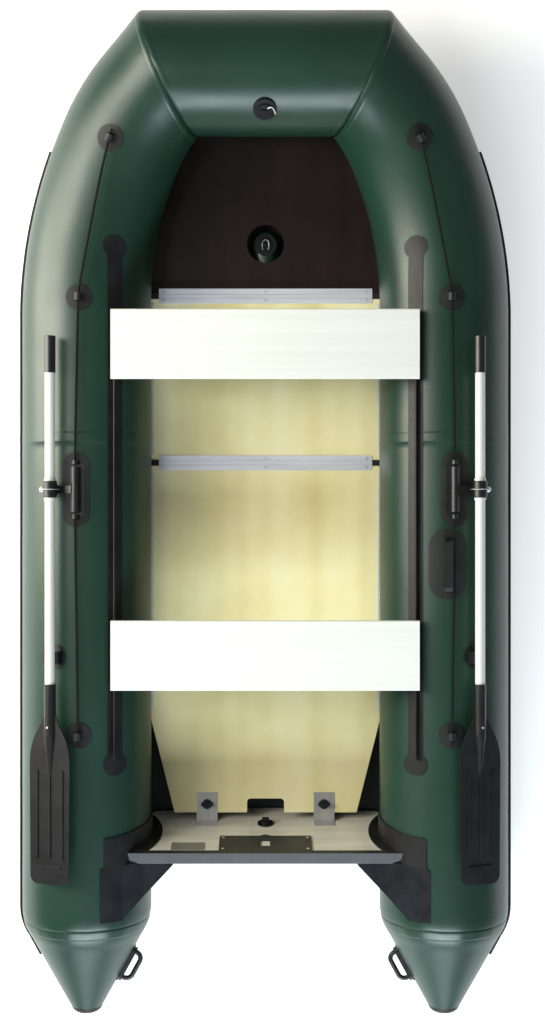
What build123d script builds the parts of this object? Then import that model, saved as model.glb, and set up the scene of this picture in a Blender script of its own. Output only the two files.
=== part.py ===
from build123d import *
from math import atan, cos, radians, sin, sqrt, tan
import os

os.makedirs("parts", exist_ok=True)

# Inflatable dinghy with a motor transom, slatted floor, two thwart seats and two oars.
# Millimetres. +Y to the bow, +X to starboard, +Z up. The origin is on the ground under the
# middle of the hull. Paired pieces are modelled to starboard and mirrored to port.

# ---- hull ----
length = 3600.0
tube_d = 470.0
cockpit_w = 840.0
bow_tube_d = 430.0
bow_rise = 190.0  # the bow tube's axis above the side tubes' axis
bow_inset = 80.0  # each mitre centre inboard of the cockpit's side
first_turn = 26.0  # degrees, the long gentle part of the side tube's bend
second_turn = 19.0  # degrees, the tighter part
second_radius = 600.0
mitre_run = 90.0  # straight tube before the mitre
cone_l = 370.0
shoulder_l = 110.0
cone_cap_l = 25.0
cone_cap_r = 58.0
shoulder_drop = 35.0

# ---- fits ----
glue = 0.3  # film between a patch and the tube it is bonded to
seam = 0.15  # each side of a welded seam
running = 0.06  # radial, pins and shafts that turn
slack = 0.5  # round soft parts that slide

# ---- bottom and keel ----
fabric_t = 2.0
guard_t = 3.7
guard_w = 60.0
keel_r = 55.1
keel_flat = 60.0
keel_sag = 24.0  # the bottom starts to rise this far ahead of the keel tube
keel_end_l = 250.0  # length of keel tube in the rising bow
bow_bottom_lift = 225.0  # the keel curve's rise by the bow tube
bottom_angle = 55.0  # where the bottom joins the tubes, below the horizontal
bow_bottom_back = 85.0  # the bottom's front edge aft of the bow tube's axis
bow_bottom_narrow = 140.0  # than the bow tube's flat length

# ---- floor ----
floor_z = 119.0
board_t = 12.0
floor_gap = 4.0  # between the floor's edge and the tube
joint_flange = 56.0
flange_t = 1.9
web_t = 2.0
section_l = 625.0
floor_from_bow = 743.0
floor_rear_gap = 11.0  # to the transom's foot
rear_taper_l = 383.0
rear_taper_w = 682.0
bow_board_l = 588.0
bow_board_flat = 58.0
bow_board_slope = 9.1
bow_board_narrow = 200.0  # nose, than the bow tube's flat length
keel_hole_r = 69.0
keel_hole_from_rear = 192.0  # from the bow board's rear edge
drain_cut_w = 139.0
drain_cut_l = 52.0
stringer_w = 20.0
plug_l = 38.0
rivet_r = 4.0
rivet_h = 1.5

# ---- transom ----
transom_t = 32.0
transom_from_stern = 696.0
transom_foot_z = 30.0
transom_below_tube = 65.4  # its top edge below the tubes' tops
transom_lean = 12.0
transom_sink = 80.0  # the blank's side into each tube, before the tubes are cut out of it
trim_t = 4.0
trim_h = 25.0
holder_t = 5.0
holder_l = 72.0
holder_flange = 36.0
holder_flange_t = 4.0
holder_edge = 88.0  # inboard of the tube's axis
wedge_l = 312.0
wedge_nose = 124.0
wedge_in = 325.0  # inboard of the tube's axis
wedge_foot_in = 148.0
wedge_foot_w = 74.0
wedge_below_tube = 84.0
shoulder_h = 150.0  # where the board reaches its full width
motor_plate_w = 334.0
motor_plate_h = 125.0
outer_plate_h = 160.0
plate_t = 4.0
bolt_r = 3.0
bolt_head_r = 6.0
bolt_head_t = 3.0
drain_h = 128.0  # up the transom from its foot
drain_r = 13.0
drain_wall = 6.0
drain_flange_r = 30.0
drain_flange_t = 5.0
plug_head_t = 7.0
builders_plate_x = -278.0
bracket_x = 219.0
bracket_w = 78.0
bracket_t = 2.0
bracket_leg = 44.0
knob_post_r = 4.0
knob_post_l = 8.0

# ---- seats ----
rail_in = 124.0  # inboard of the tube's axis
pad_t = 3.0
rail_w = 48.0
rail_end_r = 39.0
rail_past_floor = 126.0
rail_from_transom = 244.0
flap_short_front = 223.0
flap_short_rear = 20.0
flap_h = 20.0
flap_t = 3.0
rope_r = 4.5
channel_w = 20.0
channel_l = 220.0
seat_w = 245.0
seat_h = 22.0
seat_wall = 3.0
front_seat_back = 220.0  # aft of the floor's front edge
rear_seat_fore = 634.0  # forward of the transom's foot

# ---- rowlocks and oars ----
row_out = 10.0  # outboard of the tube's axis
row_fore = 36.0  # forward of the point midway between the seats
axle_r = 5.0
barrel_r = 15.0
axle_lift = 20.0  # axle centre above the tube's top
arm_w = 56.0
barrel_l = 51.0
row_pad_w = 95.0
row_pad_l = 263.0
row_base_w = 60.0
row_base_l = 214.0
lug_t = 14.0
oar_out = 95.0  # outboard of the tube's axis
oar_lift = 38.0  # shaft centre above the tube's top
pin_tilt = 18.0
swivel_r = 4.0
shaft_r = 17.5
shaft_wall = 1.5
shaft_fore = 488.0
shaft_aft = 852.0
collar_wall = 7.5
collar_l = 58.0
boss_below_shaft = 18.5
boss_w = 30.0
lock_below_shaft = 10.5
lock_r = 2.0
lock_groove = 1.2
lock_past_collar = 11.0
bail_gap = 9.0
bail_wire_r = 1.3
eye_r = 14.0
neck_reach = 24.0
eye_t = 10.0
knob_r = 11.0
grip_wall = 2.0
grip_l = 129.0
grip_end = 535.0
socket_wall = 3.0
socket_start = 679.0
blade_tip = 1377.0
blade_w = 153.0
blade_t = 6.0
rib_h = 5.0
button_r = 4.0
button_at = 828.0
button_depth = 8.0
clip_back = 588.0  # aft of the rowlock
clip_l = 42.0
clip_pad_r = 44.0

# ---- rope and fittings ----
line_r = 5.0
eyelet_r = 46.0
front_eyelet_back = 200.0  # aft of the bow tube's axis
middle_eyelet_fore = 678.0  # forward of the rowlock
rear_eyelet_back = 866.0  # aft of the rowlock
arch_t = 7.0
arch_l = 26.0
handle_in = 14.0  # inboard of the tube's axis
handle_back = 262.0  # aft of the rowlock
handle_w = 130.0
handle_l = 246.0
grab_l = 190.0
grab_h = 42.0
grab_t = 13.0
grab_w = 30.0
loop_l = 52.0
loop_h = 52.0
loop_r = 9.0
loop_bend = 24.0
loop_base_h = 12.0
loop_base_w = 32.0
strake_t = 8.0
strake_h = 46.0
strake_tail = 80.0  # along the stern cone
strake_front = 500.0  # length of strake in the bend
valve_r = 41.0
valve_bore_r = 15.0
valve_h = 7.0
valve_cap_r = 24.0
valve_cap_t = 6.0
bow_valve_back = 49.0  # degrees aft of the bow tube's top
side_valve_up = 20.0  # degrees above the tube's inner flank

# ---- worked out from the above ----
tube_r = tube_d / 2
bow_r = bow_tube_d / 2
tube_x = cockpit_w / 2 + tube_r
bow_flat = cockpit_w - 2 * bow_inset
bow_bottom_w = bow_flat - bow_bottom_narrow
bow_board_nose = bow_flat - bow_board_narrow
tube_top = tube_d
stern_y = -length / 2
bow_y = length / 2 - bow_r
bow_z = tube_r + bow_rise
a1 = radians(first_turn)
a2 = radians(first_turn + second_turn)
inward = tube_x - bow_flat / 2
first_radius = (inward - second_radius * (cos(a1) - cos(a2)) - mitre_run * sin(a2)) / (1 - cos(a1))
arc_1 = first_radius * a1
arc_2 = second_radius * (a2 - a1)
bend_l = arc_1 + arc_2 + mitre_run
bend_y = bow_y - first_radius * sin(a1) - second_radius * (sin(a2) - sin(a1)) - mitre_run * cos(a2)
sheer_r = bend_l**2 / (2 * bow_rise)
cone_y = stern_y + cone_l + cone_cap_l
keel_z = guard_t + glue
bow_bottom_y = bow_y - bow_bottom_back
transom_foot_y = stern_y + transom_from_stern
floor_front = bow_y - floor_from_bow
floor_rear = transom_foot_y + floor_rear_gap
rear_taper_y = floor_rear + rear_taper_l
keel_hole_y = floor_front + keel_hole_from_rear
knob_y = floor_rear + bracket_w - 46
floor_top = floor_z + board_t
floor_half = tube_x - sqrt((tube_r + floor_gap) ** 2 - (tube_r - floor_top) ** 2)
lean = radians(transom_lean)
transom_h = (tube_d - transom_below_tube - transom_foot_z) / cos(lean)
rail_x = tube_x - rail_in
rail_front = floor_front + rail_past_floor
rail_rear = transom_foot_y + rail_from_transom
flap_front = rail_front - flap_short_front
flap_rear = rail_rear + flap_short_rear
front_seat_y = floor_front - front_seat_back
rear_seat_y = transom_foot_y + rear_seat_fore
row_x = tube_x + row_out
row_y = (front_seat_y + rear_seat_y) / 2 + row_fore
oar_x = tube_x + oar_out
collar_r = shaft_r + collar_wall
boss_depth = shaft_r + boss_below_shaft
lock_depth = shaft_r + lock_below_shaft
lock_l = collar_r + lock_past_collar
bail_r = collar_r + bail_gap
grip_r = shaft_r + grip_wall
socket_r = shaft_r + socket_wall
clip_y = row_y - clip_back
front_eyelet_y = bow_y - front_eyelet_back
middle_eyelet_y = row_y + middle_eyelet_fore
rear_eyelet_y = row_y - rear_eyelet_back
handle_x = tube_x - handle_in
handle_y = row_y - handle_back
axle_z = tube_top + axle_lift
oar_z = tube_top + oar_lift
tilt = radians(pin_tilt)


def station(s):
    """Centre, heading and pitch (radians) and radius of the starboard tube, s along its bend."""
    if s <= 0:
        return Vector(tube_x, bend_y + s, tube_r), 0.0, 0.0, tube_r
    heading = min(s / first_radius, a1)
    x = tube_x - first_radius * (1 - cos(heading))
    y = bend_y + first_radius * sin(heading)
    if s > arc_1:
        heading = min(a1 + (s - arc_1) / second_radius, a2)
        x -= second_radius * (cos(a1) - cos(heading))
        y += second_radius * (sin(heading) - sin(a1))
    if s > arc_1 + arc_2:
        x -= (s - arc_1 - arc_2) * sin(a2)
        y += (s - arc_1 - arc_2) * cos(a2)
    r = tube_r + (bow_r - tube_r) * min(s / bend_l, 1)
    flat = min(s, bend_l)
    pitch = atan(flat / sheer_r)
    z = tube_r + flat**2 / (2 * sheer_r) + (s - flat) * tan(pitch)
    return Vector(x, y, z), heading, pitch, r


def tube_plane(s):
    """Section plane of the starboard tube: local x outboard, local y up, normal facing aft."""
    centre, heading, pitch, _ = station(s)
    forward = Vector(-sin(heading) * cos(pitch), cos(heading) * cos(pitch), sin(pitch))
    return Plane(origin=centre, x_dir=(cos(heading), sin(heading), 0), z_dir=-forward)


def station_at(y):
    """Distance along the bend whose centre is at this y."""
    low, high = 0.0, bend_l
    while high - low > 0.01:
        middle = (low + high) / 2
        low, high = (middle, high) if station(middle)[0].Y < y else (low, middle)
    return low


def tube_height(x, y, lift=0.0):
    """Height of the side tube's upper surface, raised by lift, over a point of the plan."""
    s = station_at(y) if y > bend_y else 0.0
    centre, _, _, r = station(s)
    return centre.Z + sqrt((r + lift) ** 2 - (x - centre.X) ** 2)


def keep(piece, node):
    """Label a finished piece and write it out."""
    piece.part.label = node
    export_step(piece.part, f"parts/{node}.step")


tube_axis = Axis((tube_x, 0, tube_r), (0, 1, 0))
side_profile = Plane(origin=(tube_x, 0, tube_r), x_dir=(0, 1, 0), z_dir=(1, 0, 0))
bend_stops = [arc_1 * i / 6 for i in range(7)]
bend_stops += [arc_1 + arc_2 * i / 3 for i in range(1, 4)]
bend_stops += [bend_l, bend_l + 0.7 * bow_r]


def side_tube(grown):
    """The starboard tube with its stern cone, its radius grown by a margin, before the mitre."""
    with BuildPart() as tube:
        with BuildSketch(side_profile):
            with BuildLine():
                Line((bend_y, 0), (bend_y, tube_r + grown))
                Line((bend_y, tube_r + grown), (cone_y, tube_r + grown))
                TangentArc(
                    (cone_y, tube_r + grown),
                    (cone_y - shoulder_l, tube_r - shoulder_drop + grown),
                    tangent=(-1, 0),
                )
                Line(
                    (cone_y - shoulder_l, tube_r - shoulder_drop + grown),
                    (stern_y + cone_cap_l, cone_cap_r + grown),
                )
                Line((stern_y + cone_cap_l, cone_cap_r + grown), (stern_y + cone_cap_l, 0))
                Line((stern_y + cone_cap_l, 0), (bend_y, 0))
            make_face()
        revolve(axis=tube_axis)
        for stop in bend_stops:
            with BuildSketch(tube_plane(stop)):
                Circle(station(stop)[3] + grown)
        loft()
    return tube.part


tube_bare = side_tube(0.0)
tube_glued = side_tube(glue)
tube_padded = side_tube(glue + pad_t)
tube_clear = side_tube(2 * glue + pad_t)

mitre_at, mitre_heading, mitre_pitch, _ = station(bend_l)
mitre_in = Vector(
    -sin(mitre_heading) * cos(mitre_pitch), cos(mitre_heading) * cos(mitre_pitch), sin(mitre_pitch)
)
mitre_normal = (mitre_in + Vector(-1, 0, 0)).normalized()

# ---- hull tubes ----
with BuildPart() as starboard_tube:
    add(tube_bare)
    split(bisect_by=Plane(origin=mitre_at - mitre_normal * seam, z_dir=mitre_normal), keep=Keep.BOTTOM)
keep(starboard_tube, "starboard_tube")

with BuildPart() as port_tube:
    mirror(starboard_tube.part, about=Plane.YZ)
keep(port_tube, "port_tube")

bow_cut = Plane(origin=mitre_at + mitre_normal * seam, z_dir=mitre_normal)
port_normal = Vector(-mitre_normal.X, mitre_normal.Y, mitre_normal.Z)
port_mitre = Vector(-mitre_at.X, mitre_at.Y, mitre_at.Z)
port_cut = Plane(origin=port_mitre + port_normal * seam, z_dir=port_normal)
with BuildPart() as bow_tube:
    with Locations((0, bow_y, bow_z)):
        Cylinder(bow_r, bow_flat + 1.4 * bow_r, rotation=(0, 90, 0))
    split(bisect_by=bow_cut, keep=Keep.TOP)
    split(bisect_by=port_cut, keep=Keep.TOP)
keep(bow_tube, "bow_tube")

with BuildPart() as cone_caps:
    with BuildSketch(side_profile):
        with BuildLine():
            Line((stern_y + cone_cap_l - glue, 0), (stern_y + cone_cap_l - glue, cone_cap_r))
            ThreePointArc(
                (stern_y + cone_cap_l - glue, cone_cap_r),
                (stern_y + 0.3 * cone_cap_l, 0.8 * cone_cap_r),
                (stern_y, 0.4 * cone_cap_r),
            )
            Line((stern_y, 0.4 * cone_cap_r), (stern_y, 0))
            Line((stern_y, 0), (stern_y + cone_cap_l - glue, 0))
        make_face()
    revolve(axis=tube_axis)
    mirror(about=Plane.YZ)
keep(cone_caps, "cone_caps")

# ---- rubbing strakes ----
strake_off = glue + strake_t / 2
strake_out = tube_x + tube_r + strake_off
cone_slope = atan((tube_r - shoulder_drop - cone_cap_r) / (cone_l - shoulder_l))
shoulder_end = Vector(
    tube_x + tube_r - shoulder_drop + strake_off / cos(cone_slope), cone_y - shoulder_l, tube_r
)
with BuildPart() as rubbing_strakes:
    with BuildLine() as strake_line:
        Line((strake_out, bend_y, tube_r), (strake_out, cone_y, tube_r))
        TangentArc((strake_out, cone_y, tube_r), shoulder_end, tangent=(0, -1, 0))
        Line(shoulder_end, shoulder_end + Vector(-sin(cone_slope), -cos(cone_slope), 0) * strake_tail)
    with BuildSketch(Plane(origin=strake_line.line @ 0, x_dir=(1, 0, 0), z_dir=(0, -1, 0))):
        Rectangle(strake_t, strake_h)
    sweep(transition=Transition.RIGHT)
    for stop in [strake_front * i / 5 for i in range(6)]:
        with BuildSketch(tube_plane(stop)):
            with Locations((station(stop)[3] + glue + strake_t / 2, 0)):
                Rectangle(strake_t, strake_h)
    loft()
    mirror(about=Plane.YZ)
keep(rubbing_strakes, "rubbing_strakes")

# ---- keel and bottom ----
keel_bend_y = floor_front + 18
keel_centre = keel_z + fabric_t + glue + keel_r
keel_radius = (bow_bottom_y - keel_bend_y) ** 2 / (2 * bow_bottom_lift)
keel_tip = Vector(
    0,
    keel_bend_y + keel_end_l,
    keel_centre + keel_radius - sqrt(keel_radius**2 - keel_end_l**2),
)
keel_tail_y = transom_foot_y + 45


def keel_body(grown):
    """The keel tube, its radius grown by a margin."""
    with BuildPart() as body:
        with BuildLine() as keel_line:
            Line((0, keel_tail_y, keel_centre), (0, keel_bend_y, keel_centre))
            TangentArc((0, keel_bend_y, keel_centre), keel_tip, tangent=(0, 1, 0))
        with BuildSketch(Plane(origin=keel_line.line @ 0, z_dir=(0, 1, 0))):
            Circle(keel_r + grown)
        sweep()
    return body


keel_tube = keel_body(0.0)
keep(keel_tube, "keel_tube")


def keel_rise(y):
    """Underside of the bottom on the centre line."""
    return keel_z + max(0.0, y - keel_bend_y - keel_sag) ** 2 / (2 * keel_radius)


def bottom_edge(y):
    """Where the bottom meets the starboard tube, as half-width and height."""
    down = radians(bottom_angle)
    low, high = 0.0, bend_l
    if y <= bend_y:
        high = 0.0
    while True:
        s = (low + high) / 2
        centre, heading, pitch, r = station(s)
        out = (r + fabric_t + glue) * cos(down)
        drop = (r + fabric_t + glue) * sin(down)
        edge_y = centre.Y - out * sin(heading) + drop * cos(heading) * sin(pitch)
        if high - low < 0.01:
            break
        low, high = (s, high) if edge_y < y else (low, s)
    x = centre.X - out * cos(heading) - drop * sin(heading) * sin(pitch)
    return x, centre.Z - drop * cos(pitch)


def bottom_section(y, half, edge_z, middle_z):
    """Thin vee section of the bottom at y."""
    flat = keel_flat * min(1.0, half / 300)
    low = [(-half, edge_z), (-flat, middle_z), (flat, middle_z), (half, edge_z)]
    high = [(x, z + fabric_t) for x, z in reversed(low)]
    with BuildSketch(Plane(origin=(0, y, 0), x_dir=(1, 0, 0), z_dir=(0, -1, 0))) as section:
        Polygon(*low, *high, align=None)
    return section.sketch


transom_back_y = transom_foot_y - transom_t
straight_edge = bottom_edge(0)
bow_bottom_z = bow_z - sqrt(bow_r**2 - (bow_y - bow_bottom_y) ** 2) - fabric_t - glue
bow_ys = [bend_y + (bow_bottom_y - 45 - bend_y) * i / 6 for i in range(1, 7)]
bottom_sections = [bottom_section(y, *straight_edge, keel_z) for y in (transom_back_y, bend_y)]
bottom_sections += [bottom_section(y, *bottom_edge(y), keel_rise(y)) for y in bow_ys]
bottom_sections.append(
    bottom_section(bow_bottom_y, bow_bottom_w / 2, bow_bottom_z, bow_bottom_z - 2 * fabric_t)
)
with BuildPart() as bottom_fabric:
    loft(bottom_sections, ruled=True)
keep(bottom_fabric, "bottom_fabric")

with BuildPart() as keel_guard:
    with BuildSketch():
        with Locations((0, (transom_back_y + keel_bend_y) / 2)):
            SlotOverall(keel_bend_y - transom_back_y, guard_w, rotation=90)
    extrude(amount=guard_t)
keep(keel_guard, "keel_guard")

# ---- floor ----
joint_ys = [floor_front, floor_front - section_l, floor_front - 2 * section_l]
board_half = floor_half - web_t - glue
with BuildPart() as floorboards:
    for front, rear in zip(joint_ys, joint_ys[1:]):
        with BuildSketch(Plane.XY.offset(floor_z)):
            with Locations((0, (front + rear) / 2)):
                Rectangle(2 * board_half, front - rear - web_t - 2 * glue)
        extrude(amount=board_t)
    with BuildSketch(Plane.XY.offset(floor_z)):
        half_tail = rear_taper_w / 2
        last = joint_ys[-1] - web_t / 2 - glue
        Polygon(
            (-board_half, last),
            (-board_half, rear_taper_y),
            (-half_tail, floor_rear),
            (half_tail, floor_rear),
            (board_half, rear_taper_y),
            (board_half, last),
            align=None,
        )
        with Locations((0, floor_rear)):
            RectangleRounded(drain_cut_w, 2 * drain_cut_l, 14, mode=Mode.SUBTRACT)
        with Locations((-bracket_x, knob_y), (bracket_x, knob_y)):
            Circle(knob_post_r + 1, mode=Mode.SUBTRACT)
    extrude(amount=board_t)
keep(floorboards, "floorboards")

rivet_xs = [-(board_half - plug_l - 20), 0, board_half - plug_l - 20]
with BuildPart() as floor_profiles:
    for y in joint_ys:
        with BuildSketch(Plane(origin=(0, y, floor_z + board_t / 2), x_dir=(0, 1, 0), z_dir=(1, 0, 0))):
            for side in (1, -1):
                with Locations((0, side * (board_t / 2 + glue / 2 + flange_t / 2))):
                    Rectangle(joint_flange, flange_t)
            Rectangle(web_t, board_t + glue + flange_t)
        extrude(amount=board_half - plug_l, both=True)
keep(floor_profiles, "floor_profiles")

flange_top = floor_top + glue / 2 + flange_t
with BuildPart() as floor_profile_plugs:
    for y in joint_ys:
        for side in (1, -1):
            with Locations((side * (board_half - (plug_l - glue) / 2), y, floor_top + glue / 2)):
                Box(plug_l - glue, 22, 3, align=(Align.CENTER, Align.CENTER, Align.MIN))
keep(floor_profile_plugs, "floor_profile_plugs")

with BuildPart() as stringers:
    with BuildSketch(Plane(origin=(0, rear_taper_y, 0), x_dir=(1, 0, 0), z_dir=(0, -1, 0))):
        for side in (1, -1):
            with Locations((side * (floor_half - web_t / 2), floor_z + board_t / 2)):
                Rectangle(web_t, board_t + glue + 2 * flange_t)
            for up in (1, -1):
                lift = up * (board_t / 2 + glue / 2 + flange_t / 2)
                with Locations((side * (floor_half - stringer_w / 2), floor_z + board_t / 2 + lift)):
                    Rectangle(stringer_w, flange_t)
    extrude(amount=-(floor_front - joint_flange / 2 - rear_taper_y))
    for y in joint_ys:
        with Locations((0, y, floor_z + board_t / 2)):
            Box(2 * floor_half, joint_flange + 2, 3 * board_t, mode=Mode.SUBTRACT)
keep(stringers, "stringers")

bow_slope = radians(bow_board_slope)
bow_board_rear = floor_front + web_t / 2 + glue
bow_board_kink = floor_front + bow_board_flat
bow_board_tip = floor_front + bow_board_l
tip_rise = (bow_board_tip - bow_board_kink) * tan(bow_slope)
with BuildPart() as bow_board:
    with BuildSketch(Plane.YZ):
        Polygon(
            (bow_board_rear, floor_z),
            (bow_board_kink, floor_z),
            (bow_board_tip, floor_z + tip_rise),
            (bow_board_tip, floor_z + tip_rise + board_t),
            (bow_board_kink, floor_top),
            (bow_board_rear, floor_top),
            align=None,
        )
    extrude(amount=board_half, both=True)
    with BuildSketch() as bow_plan:
        with BuildLine():
            Line((0, bow_board_rear), (board_half, bow_board_rear))
            Line((board_half, bow_board_rear), (board_half, bow_board_kink + 20))
            ThreePointArc(
                (board_half, bow_board_kink + 20),
                (0.905 * board_half, bow_board_kink + 0.5 * (bow_board_tip - bow_board_kink)),
                (bow_board_nose / 2 + 25, bow_board_tip - 15),
            )
            Line((bow_board_nose / 2 + 25, bow_board_tip - 15), (bow_board_nose / 2 - 20, bow_board_tip))
            Line((bow_board_nose / 2 - 20, bow_board_tip), (0, bow_board_tip))
            Line((0, bow_board_tip), (0, bow_board_rear))
        make_face()
        mirror(about=Plane.YZ)
        with Locations((0, keel_hole_y)):
            Circle(keel_hole_r, mode=Mode.SUBTRACT)
    extrude(amount=2 * tube_d, mode=Mode.INTERSECT)
    add(tube_clear, mode=Mode.SUBTRACT)
    add(mirror(tube_clear, about=Plane.YZ, mode=Mode.PRIVATE), mode=Mode.SUBTRACT)
keep(bow_board, "bow_board")

# ---- transom ----
transom = Plane(
    origin=(0, transom_foot_y, transom_foot_z), x_dir=(1, 0, 0), z_dir=(0, -cos(lean), -sin(lean))
)
# On this plane local y runs up the board's front face and the board lies behind it.
plate_mid = transom_h - trim_h - motor_plate_h / 2 + 6
bolt_x = motor_plate_w / 2 - 14
bolt_ys = (plate_mid - motor_plate_h / 2 + 14, plate_mid + motor_plate_h / 2 - 18)
bolt_spots = [(x, y) for x in (-bolt_x, bolt_x) for y in bolt_ys]
tube_holder = side_tube(2 * glue + holder_t)
vee_slope = (straight_edge[1] - keel_z) / (straight_edge[0] - keel_flat)
foot_middle = (keel_z + fabric_t + glue + transom_t * sin(lean) - transom_foot_z) / cos(lean)
foot_side = foot_middle + (cockpit_w / 2 - keel_flat) * vee_slope / cos(lean) + glue
transom_half = cockpit_w / 2 + transom_sink
with BuildPart() as transom_board:
    with BuildSketch(transom):
        Polygon(
            (-cockpit_w / 2, foot_side),
            (-keel_flat, foot_middle),
            (keel_flat, foot_middle),
            (cockpit_w / 2, foot_side),
            (transom_half, shoulder_h),
            (transom_half, transom_h),
            (-transom_half, transom_h),
            (-transom_half, shoulder_h),
            align=None,
        )
        with Locations((0, drain_h)):
            Circle(drain_r + drain_wall, mode=Mode.SUBTRACT)
        with Locations(*bolt_spots):
            Circle(bolt_r + running, mode=Mode.SUBTRACT)
    extrude(amount=transom_t)
    add(tube_holder, mode=Mode.SUBTRACT)
    add(mirror(tube_holder, about=Plane.YZ, mode=Mode.PRIVATE), mode=Mode.SUBTRACT)
keep(transom_board, "transom_board")

with BuildPart() as transom_trim:
    with BuildSketch(transom.offset(-trim_t)):
        with Locations((0, transom_h + trim_t - trim_h / 2)):
            Rectangle(2 * transom_half, trim_h)
    extrude(amount=transom_t + 2 * trim_t)
    with BuildSketch(transom.offset(-glue / 3)):
        with Locations((0, transom_h + glue / 3 - trim_h / 2)):
            Rectangle(2 * transom_half + 2, trim_h)
    extrude(amount=transom_t + 2 * glue / 3, mode=Mode.SUBTRACT)
    with BuildSketch(transom.offset(-2 * trim_t)):
        with Locations((0, plate_mid)):
            Rectangle(motor_plate_w + 1, motor_plate_h + 1)
    extrude(amount=transom_t + 4 * trim_t, mode=Mode.SUBTRACT)
    add(tube_holder, mode=Mode.SUBTRACT)
    add(mirror(tube_holder, about=Plane.YZ, mode=Mode.PRIVATE), mode=Mode.SUBTRACT)
keep(transom_trim, "transom_trim")

with BuildPart() as inner_motor_plate:
    with BuildSketch(transom.offset(-plate_t)):
        with Locations((0, plate_mid)):
            RectangleRounded(motor_plate_w, motor_plate_h, 8)
            with Locations((0, 8 - motor_plate_h / 2)):
                Circle(18)
        with Locations((0, plate_mid)):
            Rectangle(34, 46, mode=Mode.SUBTRACT)
        with Locations(*bolt_spots):
            Circle(bolt_r + running, mode=Mode.SUBTRACT)
    extrude(amount=plate_t)
    with BuildSketch(transom.offset(-plate_t)):
        with Locations(*bolt_spots):
            Circle(bolt_head_r + running)
    extrude(amount=bolt_head_t, mode=Mode.SUBTRACT)
keep(inner_motor_plate, "inner_motor_plate")

outer_mid = plate_mid + motor_plate_h / 2 - outer_plate_h / 2
with BuildPart() as outer_motor_plate:
    with BuildSketch(transom.offset(transom_t)):
        with Locations((0, outer_mid)):
            RectangleRounded(motor_plate_w, outer_plate_h, 8)
        with Locations(*bolt_spots):
            Circle(bolt_r + running, mode=Mode.SUBTRACT)
    extrude(amount=plate_t)
    with BuildSketch(transom.offset(transom_t + plate_t)):
        with Locations(*bolt_spots):
            Circle(bolt_head_r + running)
    extrude(amount=-bolt_head_t, mode=Mode.SUBTRACT)
keep(outer_motor_plate, "outer_motor_plate")

with BuildPart() as motor_plate_bolts:
    with BuildSketch(transom.offset(glue - plate_t)):
        with Locations(*bolt_spots):
            Circle(bolt_r)
    extrude(amount=transom_t + 2 * plate_t - 2 * glue)
    for face, way in ((-plate_t, 1), (transom_t + plate_t, -1)):
        with BuildSketch(transom.offset(face + way * glue)):
            with Locations(*bolt_spots):
                Circle(bolt_head_r)
        extrude(amount=way * (bolt_head_t - glue))
keep(motor_plate_bolts, "motor_plate_bolts")

with BuildPart() as builders_plate:
    with BuildSketch(transom.offset(-1)):
        with Locations((builders_plate_x, transom_h - 62)):
            RectangleRounded(122, 62, 4)
    extrude(amount=1)
keep(builders_plate, "builders_plate")

# Each holder is a moulded profile: one leg wraps the tube, the other lies on the board's face.
holder_start = tube_x - tube_r - 10
holder_end = tube_x - holder_edge
with BuildPart() as holder_faces:
    with BuildSketch(transom):
        with Locations((holder_end, 60)):
            Rectangle(
                holder_end - holder_start + holder_flange + 10,
                transom_h - trim_h - 61,
                align=(Align.MAX, Align.MIN),
            )
    extrude(amount=-holder_flange_t)
    add(side_tube(glue + holder_t + holder_flange), mode=Mode.INTERSECT)
with BuildPart() as transom_holders:
    with BuildSketch(transom.offset(-holder_l)):
        with Locations(((holder_start + holder_end) / 2, tube_r)):
            Rectangle(holder_end - holder_start, tube_d - 50)
    extrude(amount=holder_l + transom_t)
    add(side_tube(glue + holder_t), mode=Mode.INTERSECT)
    add(holder_faces.part)
    add(tube_glued, mode=Mode.SUBTRACT)
    mirror(about=Plane.YZ)
keep(transom_holders, "transom_holders")

foot_x = tube_x - wedge_foot_in
wedge_tail_y = transom_foot_y - wedge_l
wedge_foot_z = tube_height(foot_x, wedge_tail_y, glue + pad_t)
with BuildPart() as wedge_feet:
    with BuildSketch(Plane.XY.offset(tube_r)):
        with Locations((foot_x, wedge_tail_y)):
            Rectangle(wedge_foot_w, wedge_l, align=(Align.MIN, Align.MIN))
    extrude(amount=tube_d)
    add(tube_padded, mode=Mode.INTERSECT)
with BuildPart() as transom_wedges:
    with BuildSketch(Plane.XZ):
        Polygon(
            (tube_x - wedge_in, shoulder_h),
            (tube_x - wedge_in, tube_d - wedge_below_tube),
            (tube_x - tube_r + 14, tube_d - wedge_below_tube + 8),
            (foot_x, wedge_foot_z),
            (foot_x + 12, wedge_foot_z),
            (foot_x + 12, shoulder_h),
            align=None,
        )
    extrude(amount=length / 2)
    with BuildSketch(Plane.XY):
        Polygon(
            (tube_x - wedge_in, transom_foot_y),
            (foot_x + 12, transom_foot_y),
            (foot_x + 12, wedge_tail_y),
            (foot_x, wedge_tail_y),
            (foot_x - 10, wedge_tail_y + 13),
            (tube_x - wedge_in, transom_foot_y - wedge_nose),
            align=None,
        )
    extrude(amount=tube_d, mode=Mode.INTERSECT)
    add(wedge_feet.part)
    with BuildSketch(transom.offset(transom_t + glue)):
        Rectangle(4 * tube_d, 4 * tube_d)
    extrude(amount=2 * wedge_l, mode=Mode.INTERSECT)
    with BuildSketch(transom.offset(transom_t)):
        with Locations((0, transom_h - trim_h / 2)):
            Rectangle(4 * tube_d, trim_h + 2 * trim_t + 2 * glue)
    extrude(amount=trim_t + glue, mode=Mode.SUBTRACT)
    add(tube_glued, mode=Mode.SUBTRACT)
    mirror(about=Plane.YZ)
keep(transom_wedges, "transom_wedges")

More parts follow.
